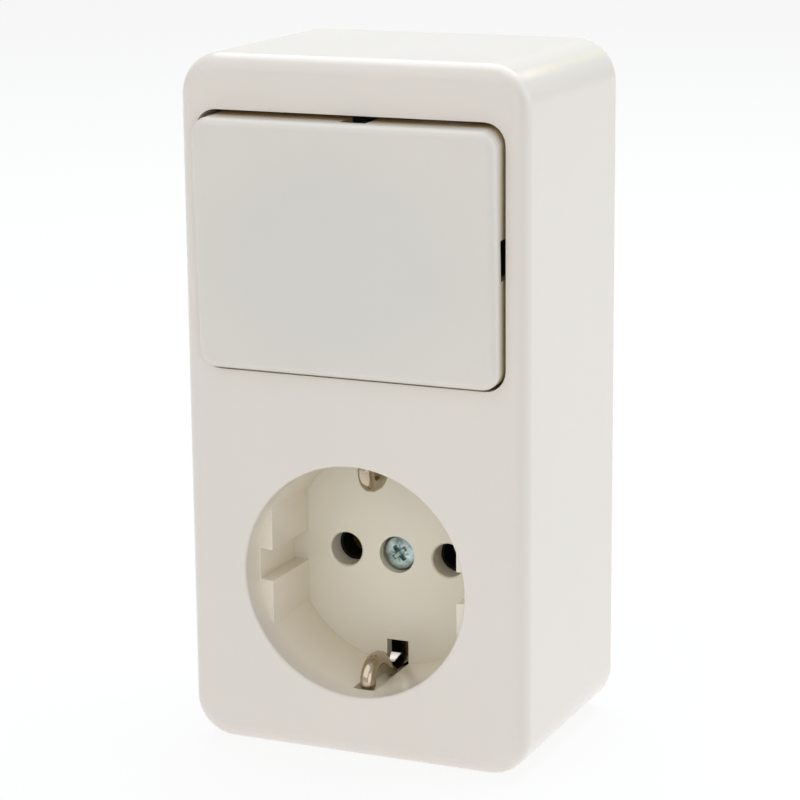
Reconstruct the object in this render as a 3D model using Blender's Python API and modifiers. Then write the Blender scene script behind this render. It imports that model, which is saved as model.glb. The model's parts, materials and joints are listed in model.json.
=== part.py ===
"""Surface-mounted rocker switch with an earthed two-pin socket below it.

Metres, +Z up.  The back of the housing lies on the wall plane y = 0, the front faces -Y
and the origin is the middle of the back.  The switch and the socket share one moulded
cover, and each has its own insert on the base plate.  The rocker is drawn as it rests,
with its lower end pressed in.
"""

import bmesh
import bpy
from math import acos, cos, pi, radians, sin, tan
from mathutils import Vector

# Housing
BODY_WIDTH = 0.061
BODY_DEPTH = 0.0415
TOP_BORDER = 0.009
BRIDGE = 0.01475
BOTTOM_BORDER = 0.01075
BODY_CORNER_RADIUS = 0.007
FRONT_EDGE_RADIUS = 0.003
COVER_WALL = 0.002
COVER_FRONT_WALL = 0.0022
COVER_INNER_EDGE = 0.0012
WINDOW_COLLAR_WALL = 0.0016
WINDOW_COLLAR_DEPTH = 0.006
FIT_GAP = 0.0003

# Rocker and its window
ROCKER_WIDTH = 0.053
ROCKER_HEIGHT = 0.0416
ROCKER_CORNER_RADIUS = 0.003
ROCKER_EDGE_RADIUS = 0.0015
ROCKER_SKIRT_WALL = 0.0014
ROCKER_FACE_WALL = 0.0016
ROCKER_STANDOUT = 0.0031
ROCKER_SKIRT_DEPTH = 0.005
ROCKER_SIDE_GAP = 0.0006
ROCKER_END_GAP = 0.0007
ROCKER_TILT = radians(2.2)
PIVOT_DEPTH = 0.0045
SIDE_NOTCH_HEIGHT = 0.0065
TOP_NOTCH_WIDTH = 0.0046
TOP_NOTCH_X = 0.0015
NOTCH_STANDOUT = 0.0005
CLIP_WIDTH = 0.006
CLIP_THICKNESS = 0.0012
CLIP_HOOK = 0.0007
CLIP_HOOK_DEPTH = 0.001

# Rocker cradle, plunger and spring
CRADLE_WIDTH = 0.024
CRADLE_HEIGHT = 0.018
CRADLE_PLATE = 0.002
CHEEK_INNER_X = 0.008
CHEEK_THICKNESS = 0.002
CHEEK_HALF_HEIGHT = 0.004
CHEEK_BELOW_PIVOT = 0.0026
PIN_RADIUS = 0.0017
PIN_LENGTH = 0.0026
GUIDE_TUBE_RADIUS = 0.003
GUIDE_TUBE_REACH = 0.0075
GUIDE_BORE_END_WALL = 0.0005
PLUNGER_RADIUS = 0.0016
PLUNGER_LENGTH = 0.0072
PLUNGER_TIP_REACH = 0.0107
SPRING_WIRE_RADIUS = 0.0002
SPRING_TURNS = 6

# Switch insert
SWITCH_BODY_WIDTH = 0.042
SWITCH_BODY_HEIGHT = 0.038
SWITCH_BODY_DEPTH = 0.017
SWITCH_BODY_SETBACK = 0.006
CAVITY_WIDTH = 0.014
CAVITY_HEIGHT = 0.028
CAVITY_DEPTH = 0.0106
EAR_THICKNESS = 0.0025
EAR_ABOVE_PIVOT = 0.0014
SWITCH_SCREW_X = 0.0168
BODY_EDGE = 0.0008

# See-saw contact arm and the contact strips
ARM_WIDTH = 0.006
ARM_LENGTH = 0.0244
ARM_THICKNESS = 0.001
ARM_TILT = radians(8.0)
ARM_AXIS_BELOW = 0.0002
KNUCKLE_RADIUS = 0.0012
TIP_RADIUS = 0.0015
TIP_HEIGHT = 0.0008
TIP_OFFSET = 0.0105
STRIP_THICKNESS = 0.001
STRIP_WIDTH = 0.004
FIXED_TIP_HEIGHT = 0.0005
POST_WIDTH = 0.0068
POST_HALF_HEIGHT = 0.0022
POST_CLEARANCE = 0.0007
RUN_INNER_X = 0.0036
RUN_WIDTH = 0.0028
CONTACT_END_X = 0.002

# Screw terminals
TERMINAL_WIDTH = 0.0068
TERMINAL_HEIGHT = 0.0074
TERMINAL_DEPTH = 0.0066
WIRE_RADIUS = 0.0015
WIRE_FROM_SEAT = 0.0026
TERMINAL_SCREW_HEAD_RADIUS = 0.0027
TERMINAL_SCREW_HEAD_DEPTH = 0.0018
TERMINAL_SCREW_RADIUS = 0.0015
SWITCH_TERMINAL_X = 0.0135
SWITCH_TERMINAL_Z = 0.0124
SCREW_SLOT = 0.0009
POCKET_GAP = 0.0004

# Socket cup
CUP_RADIUS = 0.01975
CUP_DRAFT = 0.00035
CUP_DEPTH = 0.01805
CUP_RIM_RADIUS = 0.0005
CUP_WALL = 0.0016
CUP_FLOOR = 0.002
GUIDE_STANDOUT = 0.00305
GUIDE_EDGE_DEPTH = 0.0042
GUIDE_FRONT_SLOPE = 0.0007
GUIDE_DRAFT = 0.00005
GUIDE_GROOVE_FLOOR = 0.0004
GUIDE_GROOVE_HEIGHT = 0.0054
PIN_SPACING = 0.019
PIN_HOLE_RADIUS = 0.00295
PIN_HOLE_CHAMFER = 0.00025
PIN_COLLAR_WALL = 0.001
PIN_COLLAR_DEPTH = 0.004
EARTH_SLOT_WIDTH = 0.004
EARTH_SLOT_INWARD = 0.0045
EARTH_SLOT_OUTWARD = 0.00115
EARTH_SLOT_FRONT = 0.0039
EARTH_PAD_WALL = 0.0015

# Centre screw
CENTRE_HEAD_RADIUS = 0.0029
CENTRE_HEAD_DEPTH = 0.002
CENTRE_HEAD_SINK = 0.0012
CENTRE_HEAD_EDGE = 0.0003
CENTRE_BORE_RADIUS = 0.003225
CENTRE_BOSS_RADIUS = 0.0042
CENTRE_SEAT = 0.00125
CENTRE_SHANK_RADIUS = 0.0015
CENTRE_SHANK_LENGTH = 0.0082
CROSS_ARM = 0.0036
CROSS_WIDTH = 0.0009
CROSS_DEPTH = 0.0012

# Socket insert
SOCKET_BASE_WIDTH = 0.044
SOCKET_BASE_HEIGHT = 0.044
SOCKET_BASE_BACK = 0.0038
SLEEVE_RADIUS = 0.0033
SLEEVE_BORE_RADIUS = 0.0025
SLEEVE_SLIT = 0.0008
SLEEVE_LIP = 0.0041
SLEEVE_LIP_RADIUS = 0.0026
SLEEVE_TAIL_BACK = 0.0062
TERMINAL_FROM_SLEEVE = 0.0019
EARTH_TERMINAL_FROM_SIDE = 0.0075
EARTH_TERMINAL_FROM_EDGE = 0.0077
SOCKET_SCREW_FROM_EDGE = 0.0057

# Earth bracket
EARTH_CLIP_WIDTH = 0.0027
EARTH_CLIP_THICKNESS = 0.0025
EARTH_CLIP_FRONT = 0.0043
EARTH_CLIP_CREST_END = 0.0106
EARTH_CLIP_HEEL = 0.0146
EARTH_CLIP_REACH = 0.00565
EARTH_CLIP_DROP = 0.00055
EARTH_TIP_OUTWARD = 0.0003
EARTH_LEG_INWARD = 0.0003
EARTH_LEG_THICKNESS = 0.001
EARTH_LEG_WIDTH = 0.0024
EARTH_FRONT_BEND = 0.0032
EARTH_CREST_BEND = 0.0026
EARTH_HEEL_BEND = 0.0018
EARTH_BAR_WIDTH = 0.005
EARTH_BAR_OVERHANG = 0.0009
EARTH_BAR_THICKNESS = 0.001
EARTH_EYE_RADIUS = 0.004
EARTH_COLLAR_RADIUS = 0.0026
EARTH_COLLAR_LENGTH = 0.002
STRIP_SIDES = 12

# Base plate
BASE_PLATE = 0.0026
BASE_RIM_HEIGHT = 0.007
BASE_RIM_WALL = 0.0014
POST_RADIUS = 0.0036
CABLE_ENTRY_RADIUS = 0.008
WALL_SLOT_LENGTH = 0.009
WALL_SLOT_WIDTH = 0.0044
WALL_SLOT_X = 0.019
WALL_SLOT_Z = 0.0015
RIB_THICKNESS = 0.0012
RIB_HEIGHT = 0.002

# Insert screws
INSERT_HEAD_RADIUS = 0.003
INSERT_HEAD_DEPTH = 0.0021
INSERT_SCREW_RADIUS = 0.00145
INSERT_SCREW_BITE = 0.006

# Places worked out from the sizes above
FRONT = -BODY_DEPTH
HALF_WIDTH = BODY_WIDTH / 2
WINDOW_HEIGHT = ROCKER_HEIGHT + 2 * ROCKER_END_GAP
BODY_HEIGHT = TOP_BORDER + WINDOW_HEIGHT + BRIDGE + 2 * CUP_RADIUS + BOTTOM_BORDER
HALF_HEIGHT = BODY_HEIGHT / 2
SWITCH_Z = HALF_HEIGHT - TOP_BORDER - WINDOW_HEIGHT / 2
SOCKET_Z = BOTTOM_BORDER + CUP_RADIUS - HALF_HEIGHT
INNER_X = HALF_WIDTH - COVER_WALL
INNER_Z = HALF_HEIGHT - COVER_WALL
FLOOR_Y = FRONT + CUP_DEPTH
FLOOR_BACK = FLOOR_Y + CUP_FLOOR
PIN_X = PIN_SPACING / 2
CUP_FLOOR_RADIUS = CUP_RADIUS - CUP_DRAFT
GUIDE_X = CUP_RADIUS - GUIDE_STANDOUT
GUIDE_GROOVE_X = CUP_RADIUS - GUIDE_GROOVE_FLOOR
EARTH_SLOT_INNER = CUP_RADIUS - EARTH_SLOT_INWARD
EARTH_SLOT_OUTER = CUP_RADIUS + EARTH_SLOT_OUTWARD
EARTH_LEG = CUP_RADIUS - EARTH_LEG_INWARD
SOCKET_TERMINAL_X = PIN_X + SLEEVE_RADIUS + TERMINAL_FROM_SLEEVE + TERMINAL_WIDTH / 2
EARTH_TERMINAL_X = SOCKET_BASE_WIDTH / 2 - EARTH_TERMINAL_FROM_SIDE
EARTH_TERMINAL_Z = SOCKET_BASE_HEIGHT / 2 - EARTH_TERMINAL_FROM_EDGE
SOCKET_SCREW_X = SOCKET_BASE_WIDTH / 2 - SOCKET_SCREW_FROM_EDGE
SOCKET_SCREW_Z = SOCKET_BASE_HEIGHT / 2 - SOCKET_SCREW_FROM_EDGE
PIVOT_Y = FRONT + PIVOT_DEPTH
ROCKER_BACK = FRONT + ROCKER_SKIRT_DEPTH
ROCKER_INSIDE = FRONT - ROCKER_STANDOUT + ROCKER_FACE_WALL
CRADLE_FRONT = ROCKER_INSIDE + FIT_GAP
CRADLE_BACK = CRADLE_FRONT + CRADLE_PLATE
EAR_INNER_X = CHEEK_INNER_X + CHEEK_THICKNESS + FIT_GAP
PIN_HOLE_IN_EAR = PIN_RADIUS + FIT_GAP
SWITCH_FRONT = PIVOT_Y + SWITCH_BODY_SETBACK
SWITCH_BACK = SWITCH_FRONT + SWITCH_BODY_DEPTH
CAVITY_FLOOR = SWITCH_FRONT + CAVITY_DEPTH
STRIP_BACK = CAVITY_FLOOR - FIT_GAP
STRIP_FRONT = STRIP_BACK - STRIP_THICKNESS
TUBE_END = PIVOT_Y + GUIDE_TUBE_REACH
GUIDE_BORE_RADIUS = PLUNGER_RADIUS + FIT_GAP
GUIDE_BORE_FRONT = CRADLE_BACK - GUIDE_BORE_END_WALL
PLUNGER_TIP = PIVOT_Y + PLUNGER_TIP_REACH
PLUNGER_FRONT = PLUNGER_TIP - PLUNGER_LENGTH
ARM_FRONT = PLUNGER_TIP + FIT_GAP
ARM_BACK = ARM_FRONT + ARM_THICKNESS
ARM_AXIS = ARM_BACK + ARM_AXIS_BELOW
BASE_FRONT = -BASE_PLATE
SOCKET_FRONT = FLOOR_BACK + FIT_GAP
SOCKET_BACK = -SOCKET_BASE_BACK
BRACKET_Y = FLOOR_Y + CENTRE_HEAD_SINK + CENTRE_HEAD_DEPTH + FIT_GAP + CENTRE_SEAT + FIT_GAP
BRACKET_BACK = BRACKET_Y + EARTH_BAR_THICKNESS
SLEEVE_FRONT = FLOOR_Y + PIN_COLLAR_DEPTH + FIT_GAP + SLEEVE_LIP + FIT_GAP

# Colours: base colour, roughness, metallic
IVORY = ((0.76, 0.735, 0.665), 0.32, 0.0)
IVORY_ROCKER = ((0.77, 0.745, 0.68), 0.30, 0.0)
BASE_WHITE = ((0.70, 0.69, 0.65), 0.45, 0.0)
BLACK_MOULDING = ((0.020, 0.020, 0.022), 0.45, 0.0)
GREY_MOULDING = ((0.16, 0.17, 0.18), 0.45, 0.0)
NICKEL = ((0.66, 0.60, 0.50), 0.22, 1.0)
BRASS = ((0.72, 0.53, 0.24), 0.30, 1.0)
ZINC = ((0.58, 0.64, 0.68), 0.28, 1.0)
SPRING_STEEL = ((0.45, 0.45, 0.46), 0.30, 1.0)

MERGE = 0.00001
RADIAL_SIDES = 32
SMALL_SIDES = 16
CUP_SIDES = 64


def clear_scene():
    """Remove whatever the scene holds and make the two collections."""
    for thing in list(bpy.data.objects):
        bpy.data.objects.remove(thing, do_unlink=True)
    groups = []
    for name in ("switch_and_socket", "cutters"):
        group = bpy.data.collections.new(name)
        bpy.context.scene.collection.children.link(group)
        groups.append(group)
    return groups


PARTS, CUTTERS = clear_scene()


def finish_material(name, look):
    """One Principled material from a colour, a roughness and a metallic value."""
    colour, roughness, metallic = look
    made = bpy.data.materials.new(name)
    made.use_nodes = True
    shader = made.node_tree.nodes["Principled BSDF"]
    shader.inputs["Base Color"].default_value = (*colour, 1.0)
    shader.inputs["Roughness"].default_value = roughness
    shader.inputs["Metallic"].default_value = metallic
    return made


def link(name, mesh, place, turn, parent):
    """Put a mesh in the cutter collection, at its place under its parent."""
    made = bpy.data.objects.new(name, mesh)
    CUTTERS.objects.link(made)
    made.display_type = "WIRE"
    made.hide_render = True
    made.rotation_euler = turn
    offset = parent.location if parent else Vector((0.0, 0.0, 0.0))
    made.location = Vector(place) - offset
    made.parent = parent
    return made


def as_part(thing, look, smooth_angle=35.0):
    """Move a shape from the cutters to the parts and give it its material."""
    CUTTERS.objects.unlink(thing)
    PARTS.objects.link(thing)
    thing.display_type = "TEXTURED"
    thing.hide_render = False
    thing.data.materials.append(finish_material(thing.name, look))
    thing.data.shade_smooth()
    thing.data.set_sharp_from_angle(angle=radians(smooth_angle))
    return thing


def boolean(target, tool, operation):
    """Add one exact Boolean modifier."""
    step = target.modifiers.new(tool.name, "BOOLEAN")
    step.operation = operation
    step.solver = "EXACT"
    step.object = tool


def cut(target, *tools):
    """Cut each tool out of the target."""
    for tool in tools:
        boolean(target, tool, "DIFFERENCE")


def add(target, *tools):
    """Join each tool to the target."""
    for tool in tools:
        boolean(target, tool, "UNION")


def pivot(name, place, angle):
    """An empty on a joint's axis, turned about X from the middle position."""
    made = bpy.data.objects.new(name, None)
    PARTS.objects.link(made)
    made.location = place
    made.rotation_euler = (angle, 0.0, 0.0)
    made.empty_display_size = 0.01
    return made


def block(name, x, y, z, corner=0.0, front=0.0, corner_steps=4, front_steps=3, parent=None):
    """A box between limits, its edges along Y rounded, then its front edge loop rounded."""
    centre = Vector([(low + high) / 2 for low, high in (x, y, z)])
    size = Vector([high - low for low, high in (x, y, z)])
    shape = bmesh.new()
    bmesh.ops.create_cube(shape, size=1.0)
    bmesh.ops.scale(shape, vec=size, verts=shape.verts)
    if corner:
        along = [e for e in shape.edges if abs(e.verts[0].co.y - e.verts[1].co.y) > size.y / 2]
        bmesh.ops.bevel(shape, geom=along, offset=corner, offset_type="OFFSET",
                        segments=corner_steps, profile=0.5, affect="EDGES")
    if front:
        loop = [e for e in shape.edges if all(v.co.y < MERGE - size.y / 2 for v in e.verts)]
        bmesh.ops.bevel(shape, geom=loop, offset=front, offset_type="OFFSET",
                        segments=front_steps, profile=0.5, affect="EDGES")
    mesh = bpy.data.meshes.new(name)
    shape.to_mesh(mesh)
    shape.free()
    return link(name, mesh, centre, (0.0, 0.0, 0.0), parent)


def turned(name, profile, x=0.0, z=0.0, sides=RADIAL_SIDES, phase=0.0, parent=None):
    """A shape turned about a line along Y, from (radius, y) points listed front to back."""
    points = [(radius, -y) for radius, y in profile]
    return screwed(name, points, (x, 0.0, z), (pi / 2, 0.0, 0.0), sides, phase, parent)


def turned_across(name, profile, y, z, sides=SMALL_SIDES, phase=0.0, parent=None):
    """A shape turned about a line along X, from (radius, x) points listed from high x to low."""
    return screwed(name, profile, (0.0, y, z), (0.0, pi / 2, 0.0), sides, phase, parent)


def screwed(name, profile, place, turn, sides, phase, parent):
    """Turn (radius, height) points about local Z; phase shifts the corners, in steps."""
    angle = 2 * pi * phase / sides
    points = [(radius * cos(angle), radius * sin(angle), height) for radius, height in profile]
    mesh = bpy.data.meshes.new(name)
    mesh.from_pydata(points, [(i, i + 1) for i in range(len(points) - 1)], [])
    made = link(name, mesh, place, turn, parent)
    spin = made.modifiers.new("turn", "SCREW")
    spin.axis = "Z"
    spin.steps = sides
    spin.render_steps = sides
    spin.use_merge_vertices = True
    spin.merge_threshold = MERGE
    return made


def outline(name, points, low, high, axis, parent=None):
    """A flat outline with a thickness from low to high along an axis.

    The points are (x, z) for axis Y, (y, z) for axis X and (x, y) for axis Z.
    """
    curve = bpy.data.curves.new(name, "CURVE")
    curve.dimensions = "2D"
    curve.fill_mode = "BOTH"
    curve.extrude = (high - low) / 2
    spline = curve.splines.new("POLY")
    spline.points.add(len(points) - 1)
    for point, (a, b) in zip(spline.points, points):
        point.co = (a, b, 0.0, 1.0)
    spline.use_cyclic_u = True
    middle = (low + high) / 2
    places = {"X": (middle, 0.0, 0.0), "Y": (0.0, middle, 0.0), "Z": (0.0, 0.0, middle)}
    turns = {"X": (pi / 2, 0.0, pi / 2), "Y": (pi / 2, 0.0, 0.0), "Z": (0.0, 0.0, 0.0)}
    mesh = curve_mesh(name, curve)
    return link(name, mesh, places[axis], turns[axis], parent)


def curve_mesh(name, curve):
    """The closed mesh of a curve, its caps welded to its sides."""
    holder = bpy.data.objects.new(name + "_curve", curve)
    CUTTERS.objects.link(holder)
    graph = bpy.context.evaluated_depsgraph_get()
    mesh = bpy.data.meshes.new_from_object(holder.evaluated_get(graph))
    bpy.data.objects.remove(holder, do_unlink=True)
    shape = bmesh.new()
    shape.from_mesh(mesh)
    bmesh.ops.remove_doubles(shape, verts=shape.verts, dist=MERGE)
    shape.to_mesh(mesh)
    shape.free()
    return mesh


def arc(centre, radius, start, end, steps):
    """Points on an arc, by angle in radians."""
    turn = (end - start) / steps
    return [(centre[0] + radius * cos(start + turn * k),
             centre[1] + radius * sin(start + turn * k)) for k in range(steps + 1)]


def obround(x, z, length, width, upright=False):
    """A slot outline with round ends."""
    straight = (length - width) / 2
    points = arc((straight, 0.0), width / 2, -pi / 2, pi / 2, 8)
    points += arc((-straight, 0.0), width / 2, pi / 2, 3 * pi / 2, 8)
    if upright:
        points = [(-b, a) for a, b in points]
    return [(x + a, z + b) for a, b in points]


def filleted(corners, radii, steps=6):
    """A path through corners, each inner corner replaced by an arc of its radius."""
    path = [Vector(corners[0])]
    for before, corner, after, radius in zip(corners, corners[1:], corners[2:], radii):
        back = (Vector(before) - Vector(corner)).normalized()
        on = (Vector(after) - Vector(corner)).normalized()
        half = back.angle(on) / 2
        reach = radius / tan(half)
        middle = Vector(corner) + (back + on).normalized() * (radius / sin(half))
        start = Vector(corner) + back * reach - middle
        end = Vector(corner) + on * reach - middle
        for k in range(steps + 1):
            path.append(middle + start.slerp(end, k / steps) * radius)
    path.append(Vector(corners[-1]))
    return path


def cylinder(name, radius, front, back, x=0.0, z=0.0, sides=SMALL_SIDES, phase=0.0, parent=None):
    """A plain cylinder along Y."""
    profile = [(0.0, front), (radius, front), (radius, back), (0.0, back)]
    return turned(name, profile, x, z, sides, phase, parent)


def screw(name, x, z, front, head_radius, head_depth, radius, end, look=ZINC, sides=SMALL_SIDES):
    """A pan-head screw along Y with a straight slot."""
    edge = head_depth / 4
    profile = [(0.0, front), (head_radius - edge, front), (head_radius, front + edge * 1.5),
               (head_radius, front + head_depth), (radius, front + head_depth),
               (radius, end - radius), (0.0, end)]
    made = turned(name, profile, x, z, sides)
    slot = block(name + "_slot", (x - head_radius * 1.1, x + head_radius * 1.1),
                 (front - head_depth, front + head_depth / 2),
                 (z - SCREW_SLOT / 2, z + SCREW_SLOT / 2))
    cut(made, slot)
    return as_part(made, look)


def terminal(name, x, z, seat, screw_front=None):
    """A screw terminal: a brass block on its seat with a wire hole, and its clamping screw."""
    half_width = TERMINAL_WIDTH / 2
    half_height = TERMINAL_HEIGHT / 2
    front = seat - TERMINAL_DEPTH
    made = block(name, (x - half_width, x + half_width), (front, seat),
                 (z - half_height, z + half_height), corner=0.0005, corner_steps=1)
    wire_y = seat - WIRE_FROM_SEAT
    wire = turned(name + "_wire_hole", [(0.0, -half_height * 2), (WIRE_RADIUS, -half_height * 2),
                                        (WIRE_RADIUS, half_height * 2), (0.0, half_height * 2)],
                  sides=SMALL_SIDES)
    wire.rotation_euler = (0.0, 0.0, 0.0)
    wire.location = (x, wire_y, z)
    bore = TERMINAL_SCREW_RADIUS + FIT_GAP
    thread = cylinder(name + "_thread", bore, front - half_height, wire_y, x, z)
    cut(made, wire, thread)
    as_part(made, BRASS)
    head_back = front - FIT_GAP if screw_front is None else screw_front
    screw(name + "_screw", x, z, head_back - TERMINAL_SCREW_HEAD_DEPTH,
          TERMINAL_SCREW_HEAD_RADIUS, TERMINAL_SCREW_HEAD_DEPTH, TERMINAL_SCREW_RADIUS,
          wire_y - WIRE_RADIUS / 2)
    return made


def cup_cutter():
    """The hollow of the socket and its centre bore, less the two side guides."""
    mouth = CUP_RADIUS + CUP_RIM_RADIUS
    rim = [(mouth - CUP_RIM_RADIUS * sin(t), FRONT + CUP_RIM_RADIUS * (1 - cos(t)))
           for t in [k * pi / 8 for k in range(5)]]
    profile = [(0.0, FRONT - COVER_WALL), (mouth, FRONT - COVER_WALL)] + rim
    seat = FLOOR_Y + CENTRE_HEAD_SINK + CENTRE_HEAD_DEPTH + FIT_GAP
    end = BRACKET_Y + CENTRE_SEAT
    shank = CENTRE_SHANK_RADIUS + FIT_GAP
    profile += [(CUP_FLOOR_RADIUS, FLOOR_Y), (CENTRE_BORE_RADIUS, FLOOR_Y),
                (CENTRE_BORE_RADIUS, seat), (shank, seat), (shank, end), (0.0, end)]
    hollow = turned("cup_hollow", profile, z=SOCKET_Z, sides=CUP_SIDES, phase=0.5)
    front_x = GUIDE_X + GUIDE_DRAFT
    outer = CUP_RADIUS * 1.2
    fall = GUIDE_FRONT_SLOPE * (outer - front_x) / (CUP_RADIUS - front_x)
    deep = FLOOR_Y + CUP_FLOOR / 2
    for side, word in ((-1, "left"), (1, "right")):
        guide = [(front_x, FRONT + GUIDE_EDGE_DEPTH), (GUIDE_X, deep), (outer, deep),
                 (outer, FRONT + GUIDE_EDGE_DEPTH + fall)]
        block_out = outline("guide_" + word, [(side * a, b) for a, b in guide],
                            SOCKET_Z - CUP_RADIUS, SOCKET_Z + CUP_RADIUS, "Z")
        cut(hollow, block_out)
    for side, word in ((-1, "left"), (1, "right")):
        limits = sorted((side * GUIDE_X * 0.9, side * GUIDE_GROOVE_X))
        groove = block("groove_" + word, limits, (FRONT + GUIDE_EDGE_DEPTH / 2, FLOOR_Y),
                       (SOCKET_Z - GUIDE_GROOVE_HEIGHT / 2, SOCKET_Z + GUIDE_GROOVE_HEIGHT / 2))
        add(hollow, groove)
    return hollow


def earth_ends():
    """The two ends of the socket that carry an earth clip, with their words."""
    return ((-1, "lower"), (1, "upper"))


def make_cover():
    """The moulded cover: shell, rocker window and socket cup in one piece."""
    cover = block("cover", (-HALF_WIDTH, HALF_WIDTH), (FRONT, 0.0), (-HALF_HEIGHT, HALF_HEIGHT),
                  corner=BODY_CORNER_RADIUS, front=FRONT_EDGE_RADIUS, corner_steps=9,
                  front_steps=6)
    inside = block("cover_inside", (-INNER_X, INNER_X), (FRONT + COVER_FRONT_WALL, COVER_WALL),
                   (-INNER_Z, INNER_Z), corner=BODY_CORNER_RADIUS - COVER_WALL,
                   front=COVER_INNER_EDGE, corner_steps=4, front_steps=2)
    cut(cover, inside)
    outer = CUP_RADIUS + CUP_WALL
    start = FRONT + COVER_FRONT_WALL / 2
    boss_end = BRACKET_Y - FIT_GAP
    cup = turned("cup_outside", [(0.0, start), (outer, start), (outer, FLOOR_BACK),
                                 (CENTRE_BOSS_RADIUS, FLOOR_BACK), (CENTRE_BOSS_RADIUS, boss_end),
                                 (0.0, boss_end)], z=SOCKET_Z, sides=CUP_SIDES)
    add(cover, cup)
    for side, word in earth_ends():
        pad_z = sorted((SOCKET_Z + side * CUP_RADIUS,
                        SOCKET_Z + side * (EARTH_SLOT_OUTER + EARTH_PAD_WALL)))
        pad_x = EARTH_SLOT_WIDTH / 2 + EARTH_PAD_WALL
        pad = block("earth_pad_" + word, (-pad_x, pad_x),
                    (FRONT + COVER_FRONT_WALL / 2, FLOOR_BACK), pad_z)
        add(cover, pad)
    for side, word in ((-1, "left"), (1, "right")):
        collar = cylinder("pin_collar_" + word, PIN_HOLE_RADIUS + PIN_COLLAR_WALL,
                          FLOOR_BACK - CUP_FLOOR / 2, FLOOR_Y + PIN_COLLAR_DEPTH,
                          side * PIN_X, SOCKET_Z, 24)
        add(cover, collar)
    cut(cover, cup_cutter())
    for side, word in ((-1, "left"), (1, "right")):
        wide = PIN_HOLE_RADIUS + PIN_HOLE_CHAMFER
        end = FLOOR_Y + PIN_COLLAR_DEPTH * 1.5
        hole = turned("pin_hole_" + word, [(0.0, FLOOR_Y - CUP_FLOOR), (wide, FLOOR_Y - CUP_FLOOR),
                                           (wide, FLOOR_Y),
                                           (PIN_HOLE_RADIUS, FLOOR_Y + PIN_HOLE_CHAMFER),
                                           (PIN_HOLE_RADIUS, end), (0.0, end)],
                      side * PIN_X, SOCKET_Z, RADIAL_SIDES, phase=0.5)
        cut(cover, hole)
    for side, word in earth_ends():
        slot_z = sorted((SOCKET_Z + side * EARTH_SLOT_INNER, SOCKET_Z + side * EARTH_SLOT_OUTER))
        slot = block("earth_slot_" + word, (-EARTH_SLOT_WIDTH / 2, EARTH_SLOT_WIDTH / 2),
                     (FRONT + EARTH_SLOT_FRONT, FLOOR_BACK + CUP_FLOOR), slot_z)
        cut(cover, slot)
    window_x = ROCKER_WIDTH / 2 + ROCKER_SIDE_GAP
    window_z = ROCKER_HEIGHT / 2 + ROCKER_END_GAP
    window_corner = ROCKER_CORNER_RADIUS + ROCKER_SIDE_GAP
    collar_x = window_x + WINDOW_COLLAR_WALL
    collar_z = window_z + WINDOW_COLLAR_WALL
    collar = block("window_collar", (-collar_x, collar_x),
                   (FRONT + COVER_FRONT_WALL / 2, FRONT + WINDOW_COLLAR_DEPTH),
                   (SWITCH_Z - collar_z, SWITCH_Z + collar_z),
                   corner=window_corner + WINDOW_COLLAR_WALL, corner_steps=4)
    add(cover, collar)
    window = block("rocker_window", (-window_x, window_x),
                   (FRONT - COVER_WALL, FRONT + WINDOW_COLLAR_DEPTH + COVER_WALL),
                   (SWITCH_Z - window_z, SWITCH_Z + window_z), corner=window_corner,
                   corner_steps=6)
    cut(cover, window)
    return as_part(cover, IVORY)


def make_rocker(tilt):
    """The rocker cap: a shallow moulding with a skirt, notches and two clips inside."""
    half_x = ROCKER_WIDTH / 2
    half_z = ROCKER_HEIGHT / 2
    rocker = block("rocker", (-half_x, half_x), (FRONT - ROCKER_STANDOUT, ROCKER_BACK),
                   (SWITCH_Z - half_z, SWITCH_Z + half_z), corner=ROCKER_CORNER_RADIUS,
                   front=ROCKER_EDGE_RADIUS, corner_steps=7, front_steps=5, parent=tilt)
    in_x = half_x - ROCKER_SKIRT_WALL
    in_z = half_z - ROCKER_SKIRT_WALL
    hollow = block("rocker_hollow", (-in_x, in_x), (ROCKER_INSIDE, ROCKER_BACK + ROCKER_FACE_WALL),
                   (SWITCH_Z - in_z, SWITCH_Z + in_z),
                   corner=ROCKER_CORNER_RADIUS - ROCKER_SKIRT_WALL, corner_steps=3, parent=tilt)
    cut(rocker, hollow)
    notch_y = (FRONT - NOTCH_STANDOUT, ROCKER_BACK + ROCKER_FACE_WALL)
    for side, word in ((-1, "left"), (1, "right")):
        limits = sorted((side * (half_x - ROCKER_SKIRT_WALL * 2), side * (half_x + ROCKER_SIDE_GAP)))
        notch = block("side_notch_" + word, limits, notch_y,
                      (SWITCH_Z - SIDE_NOTCH_HEIGHT / 2, SWITCH_Z + SIDE_NOTCH_HEIGHT / 2),
                      parent=tilt)
        cut(rocker, notch)
    top = block("top_notch", (TOP_NOTCH_X - TOP_NOTCH_WIDTH / 2, TOP_NOTCH_X + TOP_NOTCH_WIDTH / 2),
                notch_y, (SWITCH_Z + half_z - ROCKER_SKIRT_WALL * 2,
                          SWITCH_Z + half_z + ROCKER_END_GAP), parent=tilt)
    cut(rocker, top)
    for side, word in ((-1, "lower"), (1, "upper")):
        inner = CRADLE_HEIGHT / 2 + FIT_GAP
        outer = inner + CLIP_THICKNESS
        hook_front = CRADLE_BACK + FIT_GAP
        profile = [(ROCKER_INSIDE - ROCKER_FACE_WALL / 2, inner),
                   (ROCKER_INSIDE - ROCKER_FACE_WALL / 2, outer),
                   (hook_front + CLIP_HOOK_DEPTH, outer),
                   (hook_front + CLIP_HOOK_DEPTH, (inner + outer) / 2),
                   (hook_front + CLIP_HOOK_DEPTH / 3, inner - CLIP_HOOK),
                   (hook_front, inner - CLIP_HOOK), (hook_front, inner)]
        clip = outline("rocker_clip_" + word, [(y, SWITCH_Z + side * z) for y, z in profile],
                       -CLIP_WIDTH / 2, CLIP_WIDTH / 2, "X", parent=tilt)
        add(rocker, clip)
    return as_part(rocker, IVORY_ROCKER)


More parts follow.
